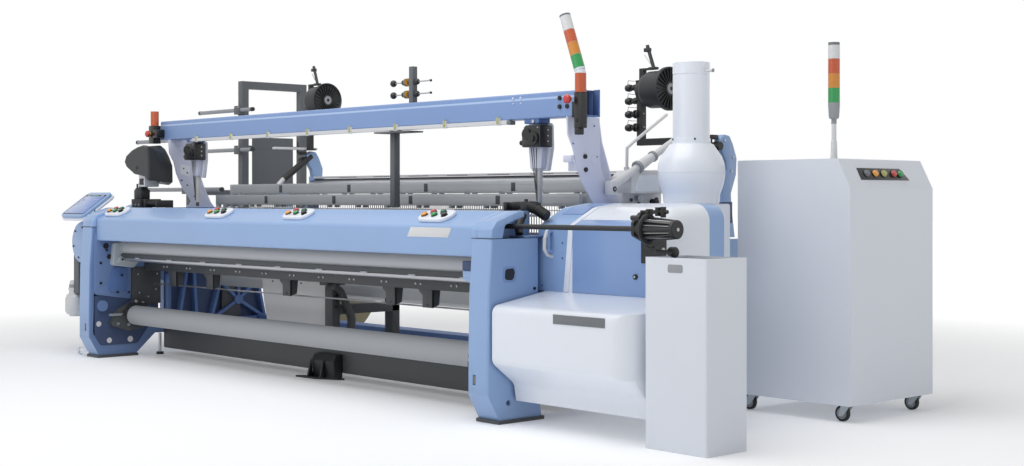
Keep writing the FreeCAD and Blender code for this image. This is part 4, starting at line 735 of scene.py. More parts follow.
# the beam over the loom, with its open ends, lamp clips and fittings
def makeOverheadBeam():
    # the beam is painted a darker blue, as painted shade on its face
    lintel = Piece("overheadBeam").use("shadeBlue").copyOf("overhead_beam")
    # the beam's end faces are painted darker still, as painted shade
    lintel.tint("deepShadeBlue", lambda face: abs(face.normal.x) > 0.5)
    # a pale sheet on top and a pale line along the front are painted highlight
    lintel.use("highlightBlue")
    lintel.block((-2.148, 0.566, 1.6600), (2.148, 0.654, 1.6606))
    lintel.prism(0, -2.149, 2.149, [(0.5594, 1.630), (0.5606, 1.641), (0.5606, 1.619)])
    lintel.use("lilac")
    for x in (1.64, 1.70):
        lintel.bolt((x, 0.560, 1.640), -2, 0.007)
        lintel.bolt((x, 0.560, 1.612), -2, 0.005)
    lintel.use("black").bolts(-2, 0.560, ((2.000, 1.580), (2.000, 1.625), (2.055, 1.580),
                                          (2.055, 1.625)), 0.012, 12)
    # the walls that run on past the right end
    lintel.use("castBlue")
    for low, high in (((0.557, 1.522), (0.565, 1.663)), ((0.655, 1.522), (0.663, 1.663)),
                      ((0.560, 1.522), (0.660, 1.530))):
        lintel.block((2.1495, *low), (2.190, *high), 0.001)
    lintel.use("grey")
    for x in (-1.05, 0.0):
        lintel.block((x - 0.05, 0.566, 1.508), (x + 0.05, 0.640, 1.5255), 0.002)
    lintel.done("overhead_beam", bevel=0.003)
    clip = {"count": 8, "first": -1.637, "pitch": 0.452}
    clips = Piece("lampClips").use("yellow")
    for number in range(clip["count"]):
        x = clip["first"] + clip["pitch"] * number
        clips.block((x - 0.009, 0.543, 1.506), (x + 0.009, 0.549, 1.541), 0.002)
        clips.block((x - 0.003, 0.544, 1.540), (x + 0.003, 0.549, 1.549), 0.001)
    clips.use("darkGrey").block((1.60, 0.545, 1.500), (1.63, 0.585, 1.522), 0.003)
    clips.done()
    print("power loom: overhead beam made")


# folded plates that carry the beam, bolted to the side frames
def makeUprights():
    plate = {"face": 2.110, "inner": -2.020, "wall": 0.010, "low": 1.040, "high": 1.525,
             "foot": 0.014, "bolt": 0.012}
    face, inner, wall = plate["face"], plate["inner"], plate["wall"]
    low, high = plate["low"], plate["high"]
    outline = [(0.505, high), (0.512, 1.430), (0.548, 1.365), (0.568, 1.285, 0.05),
               (0.614, 1.185, 0.05), (0.690, 1.085), (0.715, low), (0.930, low), (0.835, 1.150, 0.03),
               (0.785, 1.190, 0.03), (0.750, 1.270, 0.02), (0.744, 1.400), (0.742, high)]
    # the left plate is narrower in front, but its foot is not
    narrow = [(y + 0.045 if y < 0.75 and z > low else y, z, *more) for y, z, *more in outline]
    fit = Piece("uprights").use("lilac")
    fit.prism(0, face - wall, face, outline, 0.002)
    fit.prism(0, inner - wall, inner, narrow, 0.002)
    fit.block((face - 0.080, 0.700, low), (face - wall, 0.900, low + plate["foot"]), 0.002)
    fit.block((-2.100, 0.740, low), (-2.028, 0.900, low + plate["foot"]), 0.002)
    for side in (-1, 1):
        left, right = span(side, 2.100, 2.036)
        fit.block((left, 0.566, high - 0.016), (right, 0.735, high), 0.002)
        fit.prism(0, left, right, [(0.745, 1.500), (0.752, 1.500), (0.770, 1.400), (0.850, 1.190),
                                   (0.925, low), (0.915, low), (0.840, 1.190), (0.762, 1.395)])
    fit.block((face - 0.060, 0.532, 1.290), (face - 0.002, 0.556, 1.325), 0.003)
    fit.block((face - 0.060, 0.568, 1.245), (face - 0.002, 0.592, 1.292), 0.003)
    fit.rod((face - 0.002, 0.700, 1.306), (face + 0.003, 0.700, 1.306), 0.026, 24)
    fit.use("black").bolts(1, face, ((0.631, 1.320), (0.636, 1.252)), plate["bolt"], 14)
    fit.use("castBlue").bolts(1, face, ((0.545, 1.385), (0.720, 1.320), (0.690, 1.075),
                                        (0.700, 1.480)), 0.005)
    fit.use("white").prism(0, inner, inner + 0.002, [(0.645, 1.280), (0.725, 1.260), (0.725, 1.340),
                                                     (0.645, 1.350)])
    fit.use("dark").bolts(1, inner, ((0.655, 1.235), (0.700, 1.200), (0.760, 1.120), (0.670, 1.320),
                                     (0.700, 1.290)), 0.006)
    fit.done("uprights")
    print("power loom: uprights made")


# the two devices that bind the selvage yarn
def makeSelvageDevices():
    unit = {"starts": (1.722, -1.795), "wide": 0.142, "front": 0.545, "back": 0.636, "low": 1.375,
            "high": 1.492}
    wide, front, back = unit["wide"], unit["front"], unit["back"]
    low, high = unit["low"], unit["high"]
    piece = Piece("selvageDevices")
    for start in unit["starts"]:
        end = start + wide
        piece.use("castBlue").block((start - 0.004, 0.566, 1.500), (start + 0.110, 0.650, 1.527), 0.004)
        piece.use("steel").rod((start + 0.030, 0.575, 1.525), (start + 0.030, 0.575, 1.550), 0.006, 10)
        piece.rod((start + 0.070, 0.560, 1.512), (start + 0.070, 0.566, 1.512), 0.010, 12)
        piece.use("gloss").prism(1, front, back, [
            (start, low, 0.008), (end, low, 0.008), (end, high, 0.01), (start + 0.018, high, 0.02),
            (start + 0.010, 1.440), (start, 1.430)], 0.004)
        piece.use("black").rod((start + 0.040, front - 0.010, 1.445), (start + 0.040, front, 1.445),
                               0.030, 24)
        for out, radius, steps in ((0.012, 0.036, 24), (0.020, 0.016, 18)):
            piece.rod((start + 0.095, front - out, 1.420), (start + 0.095, front, 1.420), radius, steps)
        piece.block((start + 0.020, front - 0.006, 1.382), (start + 0.130, front, 1.402), 0.003)
        piece.rod((start - 0.026, 0.57, 1.400), (start + 0.004, 0.57, 1.400), 0.010, 12)
        piece.ball((start - 0.026, 0.57, 1.400), 0.014, 8)
        piece.use("steel").bolts(1, end, ((0.600, 1.405), (0.600, 1.435), (0.600, 1.465)), 0.005)
        piece.bolts(-2, front, ((start + 0.020, 1.478), (start + 0.125, 1.478)), 0.004)
        # the guide that hangs behind the housing, drawn from a line left of it
        x = start - wide
        piece.use("case").prism(1, back, 0.662, [
            (x + 0.10, 1.505), (x + 0.268, 1.505, 0.02), (x + 0.272, 1.37), (x + 0.245, 1.25, 0.01),
            (x + 0.12, 1.25, 0.01)], 0.003)
        piece.use("lilac").prism(1, 0.60, back, [
            (x + 0.135, 1.376), (x + 0.245, 1.376), (x + 0.232, 1.262), (x + 0.15, 1.262)], 0.004)
        piece.use("lens").prism(1, 0.612, 0.640, [
            (x + 0.165, 1.30), (x + 0.212, 1.30), (x + 0.205, 1.20), (x + 0.203, 1.072),
            (x + 0.186, 1.072), (x + 0.180, 1.20)], 0.003)
        piece.use("dark")
        for shift in (0.16, 0.178, 0.20):
            piece.rod((x + shift, 0.598, 1.37), (x + 0.194, 0.606, 1.09), 0.0025, 6)
        piece.rod((x + 0.194, 0.622, 1.078), (x + 0.194, 0.622, 1.05), 0.012, 12)
    piece.done("selvage_devices")
    print("power loom: selvage devices made")


# the post below the beam, and the mast above it with two rows of yarn tensioners
def makeBeamPosts():
    post = {"rows": 2, "y": 0.678, "low": 1.722, "pitch": 0.072}
    hang = Piece("beamPosts").use("stand")
    hang.block((0.505, 0.600, 1.050), (0.548, 0.643, 1.490), 0.003)
    hang.block((0.425, 0.540, 1.489), (0.755, 0.654, 1.498), 0.002)
    hang.block((0.500, 0.600, 1.498), (0.560, 0.650, 1.526), 0.002)
    hang.block((0.610, 0.660, 1.545), (0.646, 0.696, 1.885), 0.002)
    for row in range(post["rows"]):
        y, z = post["y"], post["low"] + row * post["pitch"]
        hang.use("steel").rod((0.44, y, z), (0.79, y, z), 0.004, 8)
        hang.use("gloss").ball((0.440, y, z), 0.021, 8)
        hang.rod((0.535, y, z), (0.555, y, z), 0.016, 14)
        hang.ball((0.665, y, z), 0.019, 8)
        for kind, starts, thick, radius in (("olive", (0.560, 0.574), 0.008, 0.024),
                                            ("amber", (0.568, 0.582), 0.004, 0.021)):
            hang.use(kind)
            for start in starts:
                hang.rod((start, y, z), (start + thick, y, z), radius, 20)
        hang.use("dark").rod((0.590, y, z), (0.612, y, z), 0.013, 12)
        hang.use("steel").rod((0.755, y, z), (0.80, y, z + 0.006), 0.003, 6)
        hang.use("gloss").ball((0.795, y, z), 0.008, 6)
    hang.done("beam_posts")
    print("power loom: posts and yarn tensioners made")


def stackDrums(piece, start, end, kinds, radius, gap=0.0015):
    # a stack of coloured drums between two points, each share of the length in its own colour
    start, end = Vector(start), Vector(end)
    total = sum(share for kind, share in kinds)
    passed = 0.0
    for kind, share in kinds:
        low = start.lerp(end, passed / total)
        passed += share
        high = start.lerp(end, passed / total)
        way = (high - low).normalized() * gap
        piece.use(kind).rod(low + way * 0.2, high - way * 0.2, radius, 32)
        piece.use("case").rod(high - way, high + way, radius * 0.97, 32)


# lamps: a bent tower on the right and a short one on the left, each over its stop knob
def makeLamps():
    lamp = {"y": 0.5277, "radius": 0.0295, "right": 2.183, "left": -2.180, "tip": (2.068, 2.048)}
    y, radius, right, left = lamp["y"], lamp["radius"], lamp["right"], lamp["left"]
    piece = Piece("signalLamps").use("gloss")
    piece.block((2.158, y - 0.024, 1.462), (2.208, y + 0.024, 1.645), 0.004)
    piece.block((2.158, y - 0.022, 1.428), (2.188, y + 0.022, 1.466), 0.004)
    piece.block((2.186, y - 0.016, 1.466), (2.214, y + 0.016, 1.482), 0.003)
    piece.use("black").block((2.112, y + 0.006, 1.520), (2.162, y + 0.026, 1.600), 0.003)
    piece.rod((2.176, y - 0.028, 1.500), (2.176, y - 0.022, 1.500), 0.009, 12)
    stackDrums(piece, (right, y, 1.644), (right, y, 1.742), [("orangeRed", 1)], radius)
    piece.use("case").ball((right - 0.002, y, 1.745), radius * 0.98, 12)
    stackDrums(piece, (right - 0.0045, y, 1.756), (lamp["tip"][0], y, lamp["tip"][1]), [
        ("case", 0.03), ("green", 0.22), ("orange", 0.21), ("orangeRed", 0.21), ("lens", 0.24),
        ("darkGrey", 0.03)], radius)
    piece.use("gloss").block((-2.215, y - 0.031, 1.500), (-2.145, y + 0.031, 1.630), 0.004)
    piece.block((-2.153, y - 0.031, 1.540), (-2.093, y + 0.031, 1.600), 0.004)
    stackDrums(piece, (left, y, 1.629), (left, y, 1.733), [("orangeRed", 1)], radius)
    piece.done("signal_lamps", bevel=0.001)
    front = 0.4954
    for side, x, z in (("right", 2.137, 1.610), ("left", -2.190, 1.570)):
        knob = Piece(side + "StopKnob", side + "_knob").use("yellow")
        knob.rod((x, front - 0.008, z), (x, front + 0.005, z), 0.013, 20)
        knob.use("amber").lathe((x, front, z), 1, [(-0.008, 0.0), (-0.008, 0.021), (-0.013, 0.0225),
                                                   (-0.013, 0.0)], 28)
        knob.use("red").lathe((x, front, z), 1, [(-0.013, 0.0), (-0.013, 0.0235, 0.002),
                                                 (-0.026, 0.0235, 0.005), (-0.034, 0.015, 0.005),
                                                 (-0.034, 0.0)], 28)
        knob.done(side + "_stop_knob")
    print("power loom: lamps made")


# the hood over the weft unit: a moulded helmet on a black arm, with a grey box beneath it
def makeWeftHood():
    hood = {"front": 0.300, "half": 0.395, "back": 0.490, "low": 1.215, "middle": -2.0, "centre": 1.35}
    low, middle = hood["low"], hood["middle"]
    front = [(-2.205, 1.366), (-2.180, 1.408), (-2.100, 1.446), (-2.020, 1.467), (-1.940, 1.478),
             (-1.868, 1.466), (-1.851, 1.340), (-1.852, 1.228), (-1.910, 1.258), (-2.060, 1.276),
             (-2.175, 1.330)]
    back = [(-2.150, 1.372), (-2.140, 1.420), (-2.090, 1.462), (-2.020, 1.484), (-1.960, 1.455),
            (-1.905, 1.402), (-1.856, 1.333), (-1.852, 1.215), (-1.900, 1.196), (-2.040, 1.205),
            (-2.130, 1.330)]

    def ring(share, y, size=1.0):
        # the outline at a share of the way from front to back, drawn in round its middle
        spots = []
        for one, two in zip(front, back):
            x = one[0] * (1 - share) + two[0] * share
            z = one[1] * (1 - share) + two[1] * share
            spots.append((middle + (x - middle) * size, y, hood["centre"] + (z - hood["centre"]) * size))
        return spots

    helmet = Piece("weftHood").use("shell")
    helmet.loft([
        ring(0, hood["front"] - 0.004, 0.94), ring(0, hood["front"] + 0.006),
        ring(0.05, hood["front"] + 0.030), ring(0.5, hood["half"]),
        ring(0.95, hood["back"] - 0.012), ring(1, hood["back"], 0.97)])
    helmet.use("black").rod((-2.02, 0.305, 1.32), (-2.02, 0.293, 1.32), 0.012, 16)
    helmet.use("lens").block((middle - 0.045, 0.325, low - 0.030), (middle + 0.045, 0.440, low + 0.085),
                             0.008)
    helmet.use("black").block((middle - 0.030, 0.3235, low - 0.015),
                              (middle + 0.030, 0.3265, low + 0.030), 0.002)
    helmet.bolt((middle - 0.035, 0.325, low + 0.062), -2, 0.006)
    helmet.prism(0, middle - 0.090, middle - 0.042, [
        (0.345, 1.160), (0.398, 1.160), (0.405, 1.225), (0.440, 1.320), (0.370, 1.320),
        (0.350, 1.235)], 0.006)
    helmet.rod((middle - 0.096, 0.372, 1.205), (middle - 0.036, 0.372, 1.205), 0.020, 18)
    helmet.block((middle - 0.140, 0.320, 0.9065), (middle - 0.010, 0.418, 1.100), 0.004)
    helmet.block((middle - 0.128, 0.332, 1.098), (middle - 0.022, 0.406, 1.168), 0.008)
    helmet.rod((middle - 0.118, 0.355, 1.160), (middle - 0.118, 0.355, 1.208), 0.006, 10)
    helmet.rod((middle - 0.135, 0.355, 1.172), (middle - 0.095, 0.355, 1.172), 0.007, 10)
    helmet.use("steel").bolts(-2, 0.320, ((middle - 0.120, 1.060), (middle - 0.075, 1.060),
                                          (middle - 0.030, 1.060)), 0.007)
    helmet.done("weft_hood")
    print("power loom: weft hood made")


def bellows(piece, points, radius, pitch=0.011):
    # a ribbed rubber sleeve along straight runs
    for start, end in zip(points, points[1:]):
        start, end = Vector(start), Vector(end)
        count = max(1, round((end - start).length / pitch))
        piece.rod(start, end, radius * 0.84, 14)
        for number in range(count):
            low = start.lerp(end, number / count)
            high = start.lerp(end, (number + 0.55) / count)
            piece.rod(low, high, radius, 14)


# the ribbed sleeves on both sides, their end blocks and the hose on the right
def makeSleeves():
    sleeve = {"radius": 0.024, "rest": 1.0405}
    radius, rest = sleeve["radius"], sleeve["rest"]
    piece = Piece("weftSleeves").use("black")
    bellows(piece, [(-1.965, 0.360, 1.075), (-1.90, 0.352, 1.068), (-1.80, 0.352, 1.066)], radius)
    bellows(piece, [(-1.965, 0.420, 1.070), (-1.80, 0.425, 1.066)], radius)
    piece.block((-1.985, 0.330, rest), (-1.955, 0.455, 1.100), 0.004)
    piece.block((-1.800, 0.320, rest), (-1.775, 0.450, 1.092), 0.004)
    bellows(piece, [(1.86, 0.340, 1.062), (1.93, 0.335, 1.066), (1.985, 0.330, 1.060)], radius * 0.9)
    bellows(piece, [(2.030, 0.315, 1.062), (2.085, 0.320, 1.046), (2.145, 0.330, 1.012)], radius * 1.2)
    piece.block((1.845, 0.300, rest), (1.868, 0.390, 1.084), 0.004)
    piece.block((1.984, 0.290, rest), (2.036, 0.380, 1.088), 0.008)
    piece.rod((2.010, 0.310, 1.084), (2.010, 0.310, 1.100), 0.010, 12)
    piece.hose([(2.052, 0.250, 1.020), (2.062, 0.220, 0.985), (2.082, 0.190, 0.960),
                (2.100, 0.180, 0.925)], 0.020, 14)
    piece.done()
    print("power loom: sleeves made")


# the operator's terminal, tilting on its bracket
def makeTerminal():
    pad = {"place": (-2.400, 0.140, 1.010), "turn": math.radians(36), "low": 0.024, "tall": 0.045,
           "pivot": 0.0786, "glow": 0.0011}
    low, high = pad["low"], pad["low"] + pad["tall"]
    plate = Piece("terminalPad", "terminal").stand(pad["place"], "X", pad["turn"])

    def leaf(wide, deep, start, end, radius, kind, bevel, shift=0.0):
        plate.use(kind).prism(2, start, end, cornered(
            (-wide / 2, shift - deep / 2), (wide / 2, shift + deep / 2), radius), bevel)

    leaf(0.380, 0.300, low, low + 0.022, 0.055, "white", 0.007)
    leaf(0.368, 0.288, low + 0.021, high, 0.050, "blue", 0.008)
    leaf(0.318, 0.232, high - 0.001, high + 0.0006, 0.010, "shell", 0.0005, -0.008)
    leaf(0.300, 0.205, high, high + 0.0012, 0.004, "screen", 0.0004, -0.012)
    plate.use("green").block((-0.060, 0.094, high), (0.030, 0.102, high + pad["glow"]))
    plate.use("lens")
    for x in (-0.115, -0.095, 0.095, 0.115):
        plate.block((x - 0.006, 0.094, high), (x + 0.006, 0.102, high + pad["glow"]))
    plate.use("case")
    for row in range(3):
        y = 0.050 - 0.052 * row
        plate.block((-0.130, y, high + 0.001), (0.130, y + 0.0015, high + 0.0015))
    plate.use("white")
    plate.prism(0, -0.060, 0.060, [(-0.016, -0.014, 0.008), (0.016, -0.014, 0.008),
                                   (0.030, 0.026), (-0.030, 0.026)], 0.002)
    plate.use("dark").rod((0.190, -0.05, 0.045), (0.1905, -0.05, 0.045), 0.006, 10)
    plate.done("terminal")
    arm = Piece("terminalArm").use("white").copyOf("terminal_bracket")
    arm.use("grey")
    middle, y, z = pad["place"]
    for x in (middle - pad["pivot"], middle + pad["pivot"]):
        arm.rod((x - 0.0006, y, z), (x + 0.0006, y, z), 0.011, 16)
    arm.done("terminal_bracket", bevel=0.003)
    print("power loom: terminal made")


# the left wheel guard, the round gear cover in front of it and the oil jar below
def makeLeftGuards():
    guard = {"wheel": (-2.440, 0.790), "front": 0.464, "back": 0.544, "reach": 0.270, "wall": 0.005,
             "bolts": 6, "boltRing": 0.235}
    gear = {"middle": (-2.400, 0.790), "front": 0.060, "deep": 0.150, "radius": 0.150,
            "boltRing": 0.112}
    x, z = guard["wheel"]
    deep = guard["back"] - guard["front"]
    reach, wall = guard["reach"], guard["wall"]
    piece = Piece("leftGuards").use("blue")
    piece.lathe((x, guard["front"], z), 1, [
        (0.0, 0.0), (0.0, reach * 0.3), (0.0, reach - 0.02), (0.012, reach - 0.004),
        (0.020, reach), (deep, reach), (deep, reach - wall), (wall + 0.012, reach - wall),
        (wall, reach - 0.03), (wall, 0.0)], 72)
    piece.lathe((x, guard["front"], z), 1, [(0.0, 0.070), (-0.008, 0.066), (-0.008, 0.0)], 40)
    piece.block((x + reach - 0.025, 0.540, z + 0.090), (-2.080, 0.570, z + 0.150), 0.003)
    gearX, gearZ = gear["middle"]
    front, radius, gearDeep = gear["front"], gear["radius"], gear["deep"]
    piece.lathe((gearX, front, gearZ), 1, [
        (0.0, 0.0), (0.0, radius - 0.02), (0.006, radius - 0.006), (0.016, radius),
        (0.104, radius), (0.106, radius - 0.003), (0.109, radius - 0.003), (0.111, radius),
        (gearDeep, radius), (gearDeep, 0.0)], 64)
    piece.block((gearX, front + 0.020, gearZ - 0.060), (-2.150, front + 0.130, gearZ + 0.060), 0.004)
    piece.block((gearX - 0.060, front + 0.145, gearZ - 0.050),
                (gearX + 0.040, guard["front"] + 0.01, gearZ + 0.040), 0.004)
    piece.use("stand")
    piece.block((gearX - 0.170, front + 0.030, 0.420), (gearX - 0.090, front + 0.090, 0.700), 0.004)
    piece.block((gearX + 0.02, front + 0.03, 0.545), (gearX + 0.12, front + 0.09, 0.640), 0.006)
    piece.use("black")
    for number in range(guard["bolts"]):
        angle = math.tau * (number + 0.25) / guard["bolts"]
        around, up = math.cos(angle), math.sin(angle)
        piece.bolt((gearX + gear["boltRing"] * around, front, gearZ + gear["boltRing"] * up), -2, 0.007)
        piece.bolt((x + guard["boltRing"] * around, guard["front"], z + guard["boltRing"] * up), -2,
                   0.007)
    jar = {"x": -2.605, "y": front + 0.060, "low": 0.459, "high": 0.480}
    piece.use("lens").lathe((jar["x"], jar["y"], 0.0), 2, [
        (0.250, 0.0), (0.250, 0.040), (0.262, 0.044), (0.266, 0.058), (0.290, 0.072),
        (0.375, 0.072), (0.405, 0.062), (0.418, 0.046), (0.440, 0.044), (0.442, 0.050),
        (0.456, 0.050), (0.458, 0.042), (0.500, 0.040), (0.510, 0.032), (0.510, 0.0)], 40)
    piece.use("grey").rod((jar["x"], jar["y"], jar["low"]), (jar["x"], jar["y"], jar["high"]), 0.044, 24)
    piece.done("left_guards")
    screw = {"x": -2.315, "y": 0.006, "shank": 0.010, "disc": 0.026}
    x, y = screw["x"], screw["y"]
    step = Piece("leftLevelling").use("white")
    step.block((-2.330, -0.010, 0.030), (-2.130, 0.022, 0.038), 0.002)
    step.rod((x, y, 0.0), (x, y, 0.052), screw["shank"], 14)
    step.rod((x, y, 0.0), (x, y, 0.010), screw["disc"], 20, 0.020)
    step.done()
    print("power loom: left guards made")


# the blue and white covers over the right rapier
def makeRapierCovers():
    cover = {"seam": 2.330, "right": 2.900, "front": 0.300, "corner": 0.090, "turns": 9}
    front, seam, right, corner = cover["front"], cover["seam"], cover["right"], cover["corner"]
    piece = Piece("rapierCover").use("blue").copyOf("rapier_cover")
    piece.use("panel").prism(0, seam + 0.034, right - 0.014, [
        (front - 0.0105, 0.642), (front - 0.0105, 0.950, 0.02), (front + 0.004, 0.974, 0.02),
        (0.352, 0.9985), (0.353, 0.992), (0.310, 0.960), (front - 0.0075, 0.642)], 0.001)
    # a thin strip along the top is painted darker, as painted shade
    piece.use("shadeBlue").prism(0, 2.168, 2.316, [(0.412, 1.022), (0.482, 1.0580, 0.05),
                                                  (0.565, 1.0680), (0.565, 1.0700),
                                                  (0.480, 1.0610, 0.05), (0.412, 1.0250)])
    piece.use("castBlue").bolts(-2, front, ((2.140, 0.668), (2.285, 0.883), (2.285, 0.808)), 0.005)
    piece.use("black").bolt((2.788, front - 0.010, 0.734), -2, 0.013, 20)
    piece.use("steel").bolt((2.788, front - 0.017, 0.734), -2, 0.006, 6)
    piece.done("rapier_cover", bevel=0.004, segments=3)
    grip = Piece("coverHandle").use("lens")
    bar = {"x": 2.206, "high": 0.946, "low": 0.815, "radius": 0.0095}
    path = [(front + 0.002, bar["high"]), (front - 0.030, 0.940), (front - 0.046, 0.905),
            (front - 0.048, 0.850), (front - 0.026, 0.822), (front + 0.002, bar["low"])]
    grip.hose([(bar["x"], y, z) for y, z in path], bar["radius"], 12)
    for z in (bar["high"], bar["low"]):
        grip.rod((bar["x"], front - 0.002, z), (bar["x"], front + 0.004, z), 0.012, 16)
    # the white strip that edges the panel, leaning over to the left towards its foot
    strip = [(front - 0.004, 0.642), (front - 0.004, 0.945), (front + 0.008, 0.974, 0.03),
             (0.478, 1.0605, 0.10), (0.640, 1.0795), (0.640, 1.070), (0.478, 1.048, 0.10),
             (front + 0.020, 0.966, 0.03), (front + 0.012, 0.940), (front + 0.012, 0.642)]
    lean = {"far": 0.034, "from": 0.955, "over": 0.315}
    grip.use("white").prism(0, seam - 0.002, seam + 0.032, strip, 0.0015)
    for vert in grip.mesh.verts:
        if vert.co.x > seam - 0.01:
            share = max(0.0, min(1.0, (lean["from"] - vert.co.z) / lean["over"]))
            vert.co.x -= lean["far"] * share
    grip.done()
    top = Piece("upperCover").use("white")
    outline = [(front, 0.640), (front, 0.945), (front + 0.004, 0.960), (front + 0.015, 0.972),
               (0.452, 1.042), (0.480, 1.054), (0.520, 1.0625), (0.680, 1.078), (0.690, 1.078),
               (0.690, 0.640)]
    # the way in which each point of the outline is drawn in round the right end
    inward = [(1, 0), (1, -0.35), (0.946, -0.554), (0.797, -0.716), (0.453, -0.891), (0.33, -0.93),
              (0.15, -0.985), (0.05, -0.99), (0, -1), (0, 0)]
    rings = [(seam, 0.0)]
    for number in range(cover["turns"]):
        angle = math.radians(number * 10)
        rings.append((right - corner * (1 - math.sin(angle)), corner * (1 - math.cos(angle))))
    top.loft([[(x, y + deep * pull[0], z + deep * pull[1]) for (y, z), pull in zip(outline, inward)]
              for x, deep in rings])
    top.done("upper_cover", crease=40)
    print("power loom: rapier covers made")


# the white cover over the drive, its front rounded off to the right, and the motor behind it
def makeDrive():
    drive = {"front": -0.060, "left": 2.165, "right": 3.060, "back": 0.680, "corner": 0.120,
             "turns": 10}
    right, corner, front = drive["right"], drive["corner"], drive["front"]
    cover = Piece("driveCover").use("white")
    outline = rounded([(front, 0.306, 0.05), (front, 0.581, 0.045), (0.292, 0.640),
                       (drive["back"], 0.640), (drive["back"], 0.110), (0.098, 0.110),
                       (0.084, 0.196, 0.05)])
    rings = [drive["left"], right - corner]
    for number in range(1, drive["turns"] + 1):
        rings.append(right - corner * (1 - math.sin(math.radians(9 * number))))
    bent = []
    for x in rings:
        turn = max(0.0, (x - right + corner) / corner)
        limit = front + corner * (1 - math.sqrt(max(0.0, 1 - turn * turn)))
        bent.append([(x, max(y, limit + 0.0001 * number), z) for number, (y, z) in enumerate(outline)])
    cover.loft(bent)
    cover.use("gloss").bolts(1, right, ((0.085, 0.549), (0.085, 0.274)), 0.015, 20)
    cover.use("grey").bolts(1, right, ((0.60, 0.60), (0.60, 0.16)), 0.008)
    cover.done("drive_cover", bevel=0.008, segments=3)
    fins = {"x": 2.640, "z": 0.300, "count": 24}
    x, z = fins["x"], fins["z"]
    motor = Piece("mainMotor").use("castBlue").copyOf("main_motor")
    for number in range(fins["count"]):
        angle = math.tau * number / fins["count"]
        if math.cos(angle) > -0.55:
            motor.stand((x, 0, z), "Y", angle)
            motor.block((0.098, 0.150, -0.0015), (0.110, 0.430, 0.0015))
    motor.stand().use("shell").lathe((x, 0.045, z), 1, [
        (0.0, 0.0), (0.0, 0.061), (0.008, 0.064), (0.014, 0.058), (0.022, 0.064), (0.030, 0.058),
        (0.038, 0.064), (0.046, 0.058), (0.054, 0.064), (0.060, 0.064), (0.060, 0.0)], 40)
    motor.use("dark").block((x - 0.05, 0.22, z + 0.09), (x + 0.05, 0.34, z + 0.135), 0.006)
    motor.done("main_motor", bevel=0.002)
    print("power loom: drive made")


# the white dust vessel with its round dome
def makeDuct():
    duct = {"x": 2.524, "y": 0.990, "neck": 0.0955}
    x, y, neck = duct["x"], duct["y"], duct["neck"]
    vessel = Piece("extractionDuct").use("white")
    vessel.lathe((x, y, 0), 2, [
        (1.076, 0.0), (1.076, 0.141), (1.090, 0.1434), (1.122, 0.1465), (1.131, 0.1485),
        (1.165, 0.1610), (1.200, 0.1690), (1.222, 0.1720), (1.2305, 0.1725), (1.2315, 0.1700),
        (1.2345, 0.1700), (1.2355, 0.1725), (1.260, 0.1715), (1.286, 0.1680), (1.320, 0.1550),
        (1.354, 0.1310), (1.380, 0.1130), (1.385, neck + 0.003), (1.409, neck + 0.003),
        (1.411, neck - 0.001), (1.7345, neck - 0.001), (1.736, neck - 0.003), (1.739, neck - 0.003),
        (1.7405, neck), (1.798, neck), (1.800, neck - 0.002), (1.800, neck - 0.006),
        (1.388, neck - 0.006), (1.388, 0.0)], 72)
    vessel.use("lens")
    for side in (-1, 1):
        vessel.rod((x + side * 0.092, y, 1.752), (x + side * 0.1250 + 0.018, y, 1.752), 0.008, 14)
    vessel.use("grey").rod((x + 0.143, y, 1.752), (x + 0.146, y, 1.752), 0.010, 14)
    vessel.use("black")
    for turn in (-0.5, 0.9, 2.4, 4.0):
        vessel.bolt((x + 0.0965 * math.sin(turn), y - 0.0965 * math.cos(turn), 1.405),
                    -2 if math.cos(turn) > 0 else 2, 0.006)
    vessel.use("white").block((2.150, 0.810, 0.500), (2.670, 1.130, 1.0755), 0.012, 3)
    vessel.done("extraction_duct", crease=28)
    print("power loom: duct made")


